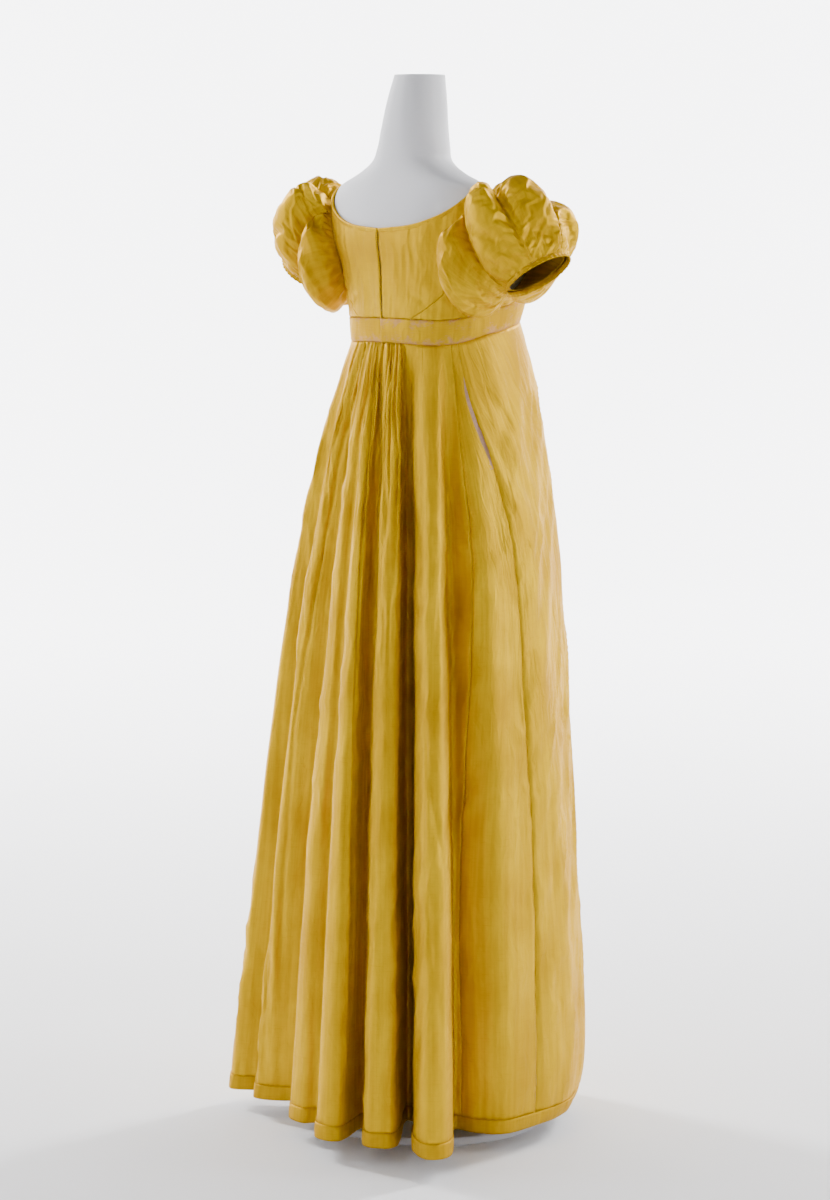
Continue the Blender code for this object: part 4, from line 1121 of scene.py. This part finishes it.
def sleeve_relief(points, columns, rows):
    """Return the height of the puckers beside the ribs and of the lobes' creases."""
    across = steps_between(points, 1)
    down = steps_between(points, 0)
    lobe, place = columns[:, 5].astype(int), columns[:, 6]
    relief = np.zeros(points.shape[:2])
    for index in range(len(SLEEVE_RIBS)):
        inside = np.flatnonzero(lobe == index)
        if index == 0:
            inside = inside[:-1]
        first, last = inside[0], inside[-1]
        for end, seed in ((first, 71), (last, 72)):
            distance = np.abs(across[:, inside] - across[:, end:end + 1])
            along = down[:, end:end + 1]
            reach = (13 + 9 * noise(along / (14 * MM), np.full_like(along, index), seed)) * MM
            wave = crisp_noise(along / (6.5 * MM) + distance / (45 * MM),
                               distance / (60 * MM) + index, seed + 2)
            near = np.exp(-(distance / reach) ** 1.5)
            relief[:, inside] += near * wave * sizes().pucker
    ends = np.minimum(rows, 1 - rows)[:, None]
    around = across / (5.5 * MM)
    relief += sizes().pucker * 0.9 * noise(around, np.zeros_like(around), 76) * np.exp(-ends / 0.05)
    folds = crisp_noise(across / (26 * MM), down / (38 * MM) + across / 0.1, 77)
    broad = noise(across / (34 * MM), down / (40 * MM), 78)
    calm = np.clip(ends / 0.10, 0, 1) * np.clip(np.sin(np.pi * place), 0, 1)[None] ** 0.5
    relief += calm * (1.3 * MM * folds + 2.4 * MM * broad) * sizes().crease
    pinned = np.clip(ends / 0.015, 0, 1)
    return relief * pinned


def puffed(points, pinned):
    """Return a ring of cloth after Blender's cloth simulation has filled and crumpled it.

    The cloth is cut longer than the surface that it starts on, by PUFF_SLACK, and pinned
    where it is sewn, so that it buckles between its seams as gathered silk does.
    """
    rows, columns = points.shape[:2]
    working = bmesh.new()
    bmesh.ops.create_grid(working, x_segments=columns - 1, y_segments=rows - 1, size=0.5)
    for vert, place in zip(working.verts, points.reshape(-1, 3)):
        vert.co = place
    bmesh.ops.remove_doubles(working, verts=working.verts, dist=0.01 * MM)
    mesh = bpy.data.meshes.new("sleeve cloth")
    working.to_mesh(mesh)
    working.free()
    sheet = bpy.data.objects.new("sleeve cloth", mesh)
    scene = bpy.context.scene
    scene.collection.objects.link(sheet)
    tree = KDTree(len(mesh.vertices))
    for vert in mesh.vertices:
        tree.insert(vert.co, vert.index)
    tree.balance()
    index = np.array([tree.find(place)[1] for place in points.reshape(-1, 3)])
    sewn = sheet.vertex_groups.new(name="sewn")
    sewn.add(sorted({int(i) for i in index[pinned.ravel()]}), 1.0, "REPLACE")
    modifier = sheet.modifiers.new("Cloth", "CLOTH")
    settings = modifier.settings
    settings.quality = 6
    settings.mass = 0.12
    settings.tension_stiffness = settings.compression_stiffness = 20
    settings.shear_stiffness = 8
    settings.bending_stiffness = 0.12
    settings.tension_damping = settings.compression_damping = settings.shear_damping = 15
    settings.shrink_min = -PUFF_SLACK
    settings.use_pressure = True
    settings.uniform_pressure_force = PUFF_PRESSURE
    settings.vertex_group_mass = sewn.name
    settings.effector_weights.gravity = 0
    modifier.collision_settings.use_collision = False
    modifier.collision_settings.use_self_collision = False
    for step in range(1, PUFF_STEPS + 1):
        scene.frame_set(step)
    settled = sheet.evaluated_get(bpy.context.evaluated_depsgraph_get()).to_mesh()
    places = np.empty(len(settled.vertices) * 3)
    settled.vertices.foreach_get("co", places)
    moved = places.reshape(-1, 3)[index].reshape(points.shape) - points
    bpy.data.objects.remove(sheet)
    scene.frame_set(1)
    reach = np.linalg.norm(moved, axis=2)[:, :, None]
    return points + moved * PUFF_REACH / np.maximum(reach, PUFF_REACH)


def build_sleeves():
    """Make both puffed sleeves and their linings."""
    rows = np.linspace(0, 1, SLEEVE_ROWS + 1)
    columns = sleeve_columns()
    points = sleeve_surface(*columns[:, :5].T, rows)
    relief = sleeve_relief(points, columns, rows)
    points = points + normals(points, True, 1) * relief[:, :, None]
    points[:, -1] = points[:, 0]
    pinned = np.zeros(points.shape[:2], bool)
    pinned[[0, -1]] = True
    pinned[:, (columns[:, 6] == 0) | (columns[:, 6] == 1)] = True
    points = puffed(points, pinned)
    points[:, -1] = points[:, 0]
    both_sides("sleeve", points, taffeta(), "silk", finer=True)
    psi = np.linspace(0, 360, 97)
    cuff_psi = np.interp(psi, *lining_twist())
    slack = np.full(len(psi), 8 * MM)
    points = sleeve_surface(psi, cuff_psi, slack, slack, np.full(len(psi), 0.6),
                            np.linspace(0, 1, 25), LINING_SET_IN)
    points[:, -1] = points[:, 0]
    around = steps_between(points, 1)
    down = steps_between(points, 0)
    relief = 0.6 * MM * noise(around / (30 * MM), down / (22 * MM), 79)
    points = points + normals(points, True, 1) * relief[:, :, None]
    points[:, -1] = points[:, 0]
    both_sides("lining", points, lining_silk(), "lining_silk",
               node="sleeve_lining")


def both_sides(cut, points, look, slot, node=None, thickness=None, finer=False):
    """Make a ring of cloth on the wearer's right and its mirror image on the left."""
    node = node or cut
    for side, grid in (("right", points), ("left", mirrored(points))):
        piece = cloth(node + "_" + side + "_silk", grid, look, slot, [node + "_" + side], ring=True,
                      flip=side == "left", thickness=thickness)
        if finer:
            smoother = piece.modifiers.new("Smooth", "SUBSURF")
            smoother.levels = smoother.render_levels = 1
            piece.modifiers.move(1, 0)


def lining_twist():
    """Return matching armhole and cuff angles for the lining."""
    armhole_psi = [rib.armhole for rib in SLEEVE_RIBS]
    cuff_psi = [rib.cuff for rib in SLEEVE_RIBS]
    return (armhole_psi + [angle + 360 for angle in armhole_psi],
            cuff_psi + [angle + 360 for angle in cuff_psi])


def build_cuffs():
    """Make the cuffs, corded at the edge and drawn into small puckers."""
    psi = np.linspace(0, 360, 361)
    section = np.linspace(0, 1, 12)
    points = []
    for share in section:
        height = -CUFF_HEIGHT + SEAM_GAP + (CUFF_HEIGHT - SEAM_GAP) * share
        cord = 1.1 * MM * math.exp(-((share - 0.80) / 0.16) ** 2)
        pucker = CUFF_PUCKER_DEPTH * np.cos(np.radians(psi) * 2 * CUFF_PUCKERS) * min(1, 0.25 + share)
        uneven = 0.4 * MM * noise(psi / 7, np.full(len(psi), share), 81)
        uneven[-1] = uneven[0]
        points.append(cuff_ring(psi, CUFF_RADIUS + 0.4 * MM + cord + pucker + uneven, height))
    both_sides("cuff", np.stack(points), doubled_taffeta(), "silk_trim",
               thickness=0.9 * MM)


def build_cords():
    """Make the thin cords that lie in the hollows along the ribs."""
    rows = np.linspace(0, 1, 61)
    for number, rib in enumerate(SLEEVE_RIBS[:4], start=1):
        offsets = np.array((-1.0, 0, 1)) * RIB_HALF_ANGLE
        puff = np.full(3, rib.rib_puff * RIB_SINK)
        strip = sleeve_surface(rib.armhole + offsets, rib.cuff + offsets, puff, puff,
                               np.full(3, rib.lap), rows)
        across = strip[:, 2] - strip[:, 0]
        across /= np.linalg.norm(across, axis=1)[:, None]
        along = np.gradient(strip[:, 1], axis=0)
        along /= np.linalg.norm(along, axis=1)[:, None]
        outwards = np.cross(across, along)
        outwards /= np.linalg.norm(outwards, axis=1)[:, None]
        centre = strip[2:-2, 1] + outwards[2:-2] * (CORD_RADIUS + SEAM_GAP)
        turns = np.radians(np.linspace(0, 360, 13))
        dents = 1 + 0.18 * noise(np.arange(len(centre)) * 0.9, np.zeros(len(centre)), 90 + number)
        radius = (0.75 * CORD_RADIUS * dents)[:, None, None]
        ring = (np.cos(turns)[None, :, None] * across[2:-2, None]
                + np.sin(turns)[None, :, None] * outwards[2:-2, None])
        points = centre[:, None] + radius * ring
        points[[0, -1]] = centre[[0, -1]][:, None] + 0.05 * radius[[0, -1]] * ring[[0, -1]]
        for side, grid in (("right", points), ("left", mirrored(points))):
            node = "sleeve_cord_%s_%d" % (side, number)
            cloth(node + "_silk", grid, doubled_taffeta(), "silk_trim", [node], ring=True,
                  flip=side == "right", thickness=0)


def build_form():
    """Make the smooth torso with its neck, and finish the pole and the base."""
    phi = np.linspace(0, 360, 129)
    heights = np.concatenate([np.linspace(FORM_BOTTOM, 1380 * MM, 60),
                              np.linspace(1384 * MM, FORM_TOP, 60)])
    rings = [body(phi, height, 0.0) for height in heights]
    for share in np.linspace(0.15, 1, 8):
        bend = math.sin(share * math.pi / 2)
        rings.append(body(phi, FORM_TOP, -3 * MM * share) + (0, 0, -0.4 * MM * share * bend))
    centre = rings[-1].mean(axis=0)
    for share in (0.7, 0.4, 0.001):
        rings.append(centre + (rings[-1] - centre) * share)
    base = rings[0]
    for scale, lower in ((0.93, 6), (0.80, 8), (0.5, 8), (0.001, 8)):
        rings.insert(0, base * (scale, scale, 1) - (0, 0, lower * MM))
    points = np.stack(rings)[::-1]
    points[:, -1] = points[:, 0]
    look = form_covering()
    cloth("dress_form", points, look, "form_white", ["form_torso"], ring=True, flip=True, thickness=0)
    steel = powder_coat()
    for node in ("stand_pole", "stand_base"):
        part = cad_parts[node]
        part.data.materials.clear()
        part.data.materials.append(steel)


def stitch_row(working, line, level, spacing, width=0.35 * MM):
    """Add a row of small stitches along a line of points on a surface with normals."""
    lengths = np.concatenate([[0], np.cumsum(np.linalg.norm(np.diff(line, axis=0), axis=1))])
    for start in np.arange(spacing, lengths[-1] - spacing, spacing):
        ends = [np.array([np.interp(place, lengths, column) for column in line.T])
                for place in (start, start + sizes().stitch)]
        up = np.array([np.interp(start, lengths, column) for column in level.T])
        along = Vector(ends[1] - ends[0]).normalized()
        up = Vector(up).normalized()
        side = along.cross(up).normalized()
        up = side.cross(along)
        turn = Matrix((along, side, up)).transposed().to_4x4()
        size = Matrix.Diagonal((sizes().stitch / 2, width, 0.22 * MM, 1))
        place = Matrix.Translation(Vector((ends[0] + ends[1]) / 2))
        bmesh.ops.create_icosphere(working, subdivisions=1, radius=1, matrix=place @ turn @ size)


def build_sewing():
    """Make the hand stitches that show along the seams and the band."""
    thread = sewing_thread()
    working = bmesh.new()
    drops = np.linspace(0.02, 0.96, 160)
    for side in (1, -1):
        arc = side * (seam_arc(SEAM_BACK, drops) + 1.6 * MM)
        grid = skirt(arc[:, None] + np.array((-0.5, 0, 0.5)) * MM, drops[:, None])
        level = normals(grid, False, -1)[:, 1]
        stitch_row(working, grid[:, 1] + level * 0.1 * MM, level, 7 * MM)
    finish(working, "skirt_stitches", thread)
    working = bmesh.new()
    phi = np.linspace(1, 359, 900)
    for height, shift in ((WAIST_TOP, -2.2 * MM), (WAIST_BOTTOM, 2.4 * MM)):
        z = waist(phi, height) + shift
        line = body(phi, z, BODICE_OUTSIDE + 1.1 * MM)
        level = line * (1, 1, 0)
        stitch_row(working, line, level, 4.5 * MM, 0.25 * MM)
    finish(working, "waistband_stitches", thread)


def build_stage():
    """Make the floor with the curved wall round it, the soft lights and the camera."""
    working = bmesh.new()
    bmesh.ops.create_grid(working, x_segments=21, y_segments=1, size=1)
    curve = [(FLOOR_EDGE + WALL_CURVE * math.sin(t), WALL_CURVE - WALL_CURVE * math.cos(t))
             for t in np.radians(np.linspace(0, 90, 19))]
    wall = FLOOR_EDGE + WALL_CURVE
    profile = [(0, 0)] + curve + [(wall, 5.0), (wall, WALL_TOP)]
    bottom = sorted((v for v in working.verts if v.co.y < 0), key=lambda v: v.co.x)
    bmesh.ops.delete(working, geom=[v for v in working.verts if v.co.y > 0], context="VERTS")
    for vert, (away, z) in zip(bottom, profile):
        vert.co = (away, 0, z)
    bmesh.ops.spin(working, geom=bottom + list(working.edges), angle=math.tau, steps=64,
                   axis=(0, 0, 1), cent=(0, 0, 0), use_merge=True)
    bmesh.ops.remove_doubles(working, verts=working.verts, dist=0.1 * MM)
    bmesh.ops.recalc_face_normals(working, faces=working.faces)
    bmesh.ops.reverse_faces(working, faces=working.faces)
    back = math.radians(CAMERA_AZIMUTH)
    behind = Vector((-math.sin(back), math.cos(back), 0))
    mesh = bpy.data.meshes.new("backdrop")
    working.to_mesh(mesh)
    working.free()
    mesh.shade_smooth()
    backdrop = bpy.data.objects.new("backdrop", mesh)
    bpy.context.scene.collection.objects.link(backdrop)
    paper = bpy.data.materials.new("matt backdrop paper")
    paper.use_nodes = True
    tree = paper.node_tree
    shader = tree.nodes["Principled BSDF"]
    place = add(tree, "ShaderNodeTexCoord").outputs["Object"]
    cloudy = add(tree, "ShaderNodeTexNoise", {"Scale": 1.5, "Detail": 1.0}, {"Vector": place})
    tint = add(tree, "ShaderNodeMix", {6: linear(colours().floor), 7: linear("#E8E8EA")},
               {0: cloudy.outputs["Fac"]}, data_type="RGBA")
    tree.links.new(tint.outputs[2], shader.inputs["Base Color"])
    shader.inputs["Roughness"].default_value = 0.9
    shader.inputs["Specular IOR Level"].default_value = 0.2
    mesh.materials.append(paper)

    world = bpy.data.worlds.new("studio")
    world.use_nodes = True
    world.node_tree.nodes["Background"].inputs["Color"].default_value = (1, 1, 1, 1)
    world.node_tree.nodes["Background"].inputs["Strength"].default_value = 0.08
    bpy.context.scene.world = world
    for light in LIGHTS:
        lamp = bpy.data.lights.new(light.name, "AREA")
        lamp.shape = "RECTANGLE"
        lamp.size, lamp.size_y = light.width, light.tall
        lamp.energy = light.power
        holder = bpy.data.objects.new(light.name, lamp)
        bpy.context.scene.collection.objects.link(holder)
        holder.visible_camera = False
        angle = math.radians(CAMERA_AZIMUTH - light.turn)
        where = Vector((math.sin(angle) * light.away, -math.cos(angle) * light.away, light.height))
        target = Vector((0, 0, light.aim)) + behind * light.beyond
        holder.location = where
        holder.rotation_euler = (target - where).to_track_quat("-Z", "Y").to_euler()

    camera = bpy.data.cameras.new("camera")
    camera.sensor_width = 36
    camera.lens = CAMERA_LENS
    holder = bpy.data.objects.new("camera", camera)
    bpy.context.scene.collection.objects.link(holder)
    right = Vector((math.cos(back), math.sin(back), 0))
    holder.location = -behind * CAMERA_DISTANCE - right * CAMERA_SIDE + Vector((0, 0, CAMERA_HEIGHT))
    pitch = math.radians(CAMERA_PITCH)
    look = behind * math.cos(pitch) - Vector((0, 0, math.sin(pitch)))
    holder.rotation_euler = look.to_track_quat("-Z", "Y").to_euler()
    bpy.context.scene.camera = holder


class GOWN_OT_stage(bpy.types.Operator):
    """Set the backdrop, lights and camera."""

    bl_idname = "gown.stage"
    bl_label = "Stage"

    def execute(self, context):
        build_stage()
        return {"FINISHED"}


class GOWN_OT_form(bpy.types.Operator):
    """Make the torso and finish its stand."""

    bl_idname = "gown.form"
    bl_label = "Dress form"

    def execute(self, context):
        build_form()
        return {"FINISHED"}


class GOWN_OT_bodice(bpy.types.Operator):
    """Make the bodice panels."""

    bl_idname = "gown.bodice"
    bl_label = "Bodice"

    def execute(self, context):
        build_bodice()
        return {"FINISHED"}


class GOWN_OT_neck(bpy.types.Operator):
    """Make the binding of the neckline."""

    bl_idname = "gown.neck"
    bl_label = "Neck binding"

    def execute(self, context):
        build_neck_binding()
        return {"FINISHED"}


class GOWN_OT_band(bpy.types.Operator):
    """Make the waistband."""

    bl_idname = "gown.band"
    bl_label = "Waistband"

    def execute(self, context):
        build_waistband()
        return {"FINISHED"}


class GOWN_OT_skirt(bpy.types.Operator):
    """Make the breadths of the skirt."""

    bl_idname = "gown.skirt"
    bl_label = "Skirt"

    def execute(self, context):
        build_skirt()
        return {"FINISHED"}


class GOWN_OT_hem(bpy.types.Operator):
    """Make the hem band."""

    bl_idname = "gown.hem"
    bl_label = "Hem"

    def execute(self, context):
        build_hem()
        return {"FINISHED"}


class GOWN_OT_facing(bpy.types.Operator):
    """Make the facing behind the slit."""

    bl_idname = "gown.facing"
    bl_label = "Placket facing"

    def execute(self, context):
        build_facing()
        return {"FINISHED"}


class GOWN_OT_sleeves(bpy.types.Operator):
    """Make the puffed sleeves and linings."""

    bl_idname = "gown.sleeves"
    bl_label = "Sleeves"

    def execute(self, context):
        build_sleeves()
        return {"FINISHED"}


class GOWN_OT_cuffs(bpy.types.Operator):
    """Make the cuffs."""

    bl_idname = "gown.cuffs"
    bl_label = "Cuffs"

    def execute(self, context):
        build_cuffs()
        return {"FINISHED"}


class GOWN_OT_cords(bpy.types.Operator):
    """Make the cords along the ribs."""

    bl_idname = "gown.cords"
    bl_label = "Rib cords"

    def execute(self, context):
        build_cords()
        return {"FINISHED"}


class GOWN_OT_sewing(bpy.types.Operator):
    """Make the hand stitches."""

    bl_idname = "gown.sewing"
    bl_label = "Sewing"

    def execute(self, context):
        build_sewing()
        return {"FINISHED"}


OPERATORS = (
    GOWN_OT_stage,
    GOWN_OT_form,
    GOWN_OT_bodice,
    GOWN_OT_neck,
    GOWN_OT_band,
    GOWN_OT_skirt,
    GOWN_OT_hem,
    GOWN_OT_facing,
    GOWN_OT_sleeves,
    GOWN_OT_cuffs,
    GOWN_OT_cords,
    GOWN_OT_sewing,
)


class GOWN_PT_panel(bpy.types.Panel):
    """Lists the gown's pieces and its sizes and colours."""

    bl_label = "Regency gown"
    bl_space_type = "VIEW_3D"
    bl_region_type = "UI"
    bl_category = "Gown"

    def draw(self, context):
        """Draw the buttons and the settings."""
        for made in OPERATORS:
            self.layout.operator(made.bl_idname)
        for group in (context.scene.gown_sizes, context.scene.gown_colours):
            for key in group.__annotations__:
                self.layout.prop(group, key)


def register():
    """Register the classes and the scene's settings."""
    for made in (GownSizes, GownColours, *OPERATORS, GOWN_PT_panel):
        bpy.utils.register_class(made)
    bpy.types.Scene.gown_sizes = PointerProperty(type=GownSizes)
    bpy.types.Scene.gown_colours = PointerProperty(type=GownColours)


def unregister():
    """Remove the settings and the classes."""
    del bpy.types.Scene.gown_sizes
    del bpy.types.Scene.gown_colours
    for made in reversed((GownSizes, GownColours, *OPERATORS, GOWN_PT_panel)):
        bpy.utils.unregister_class(made)


def main():
    """Build every piece."""
    register()
    for made in OPERATORS:
        getattr(bpy.ops.gown, made.bl_idname.split(".")[1])()


if __name__ == "__main__":
    main()
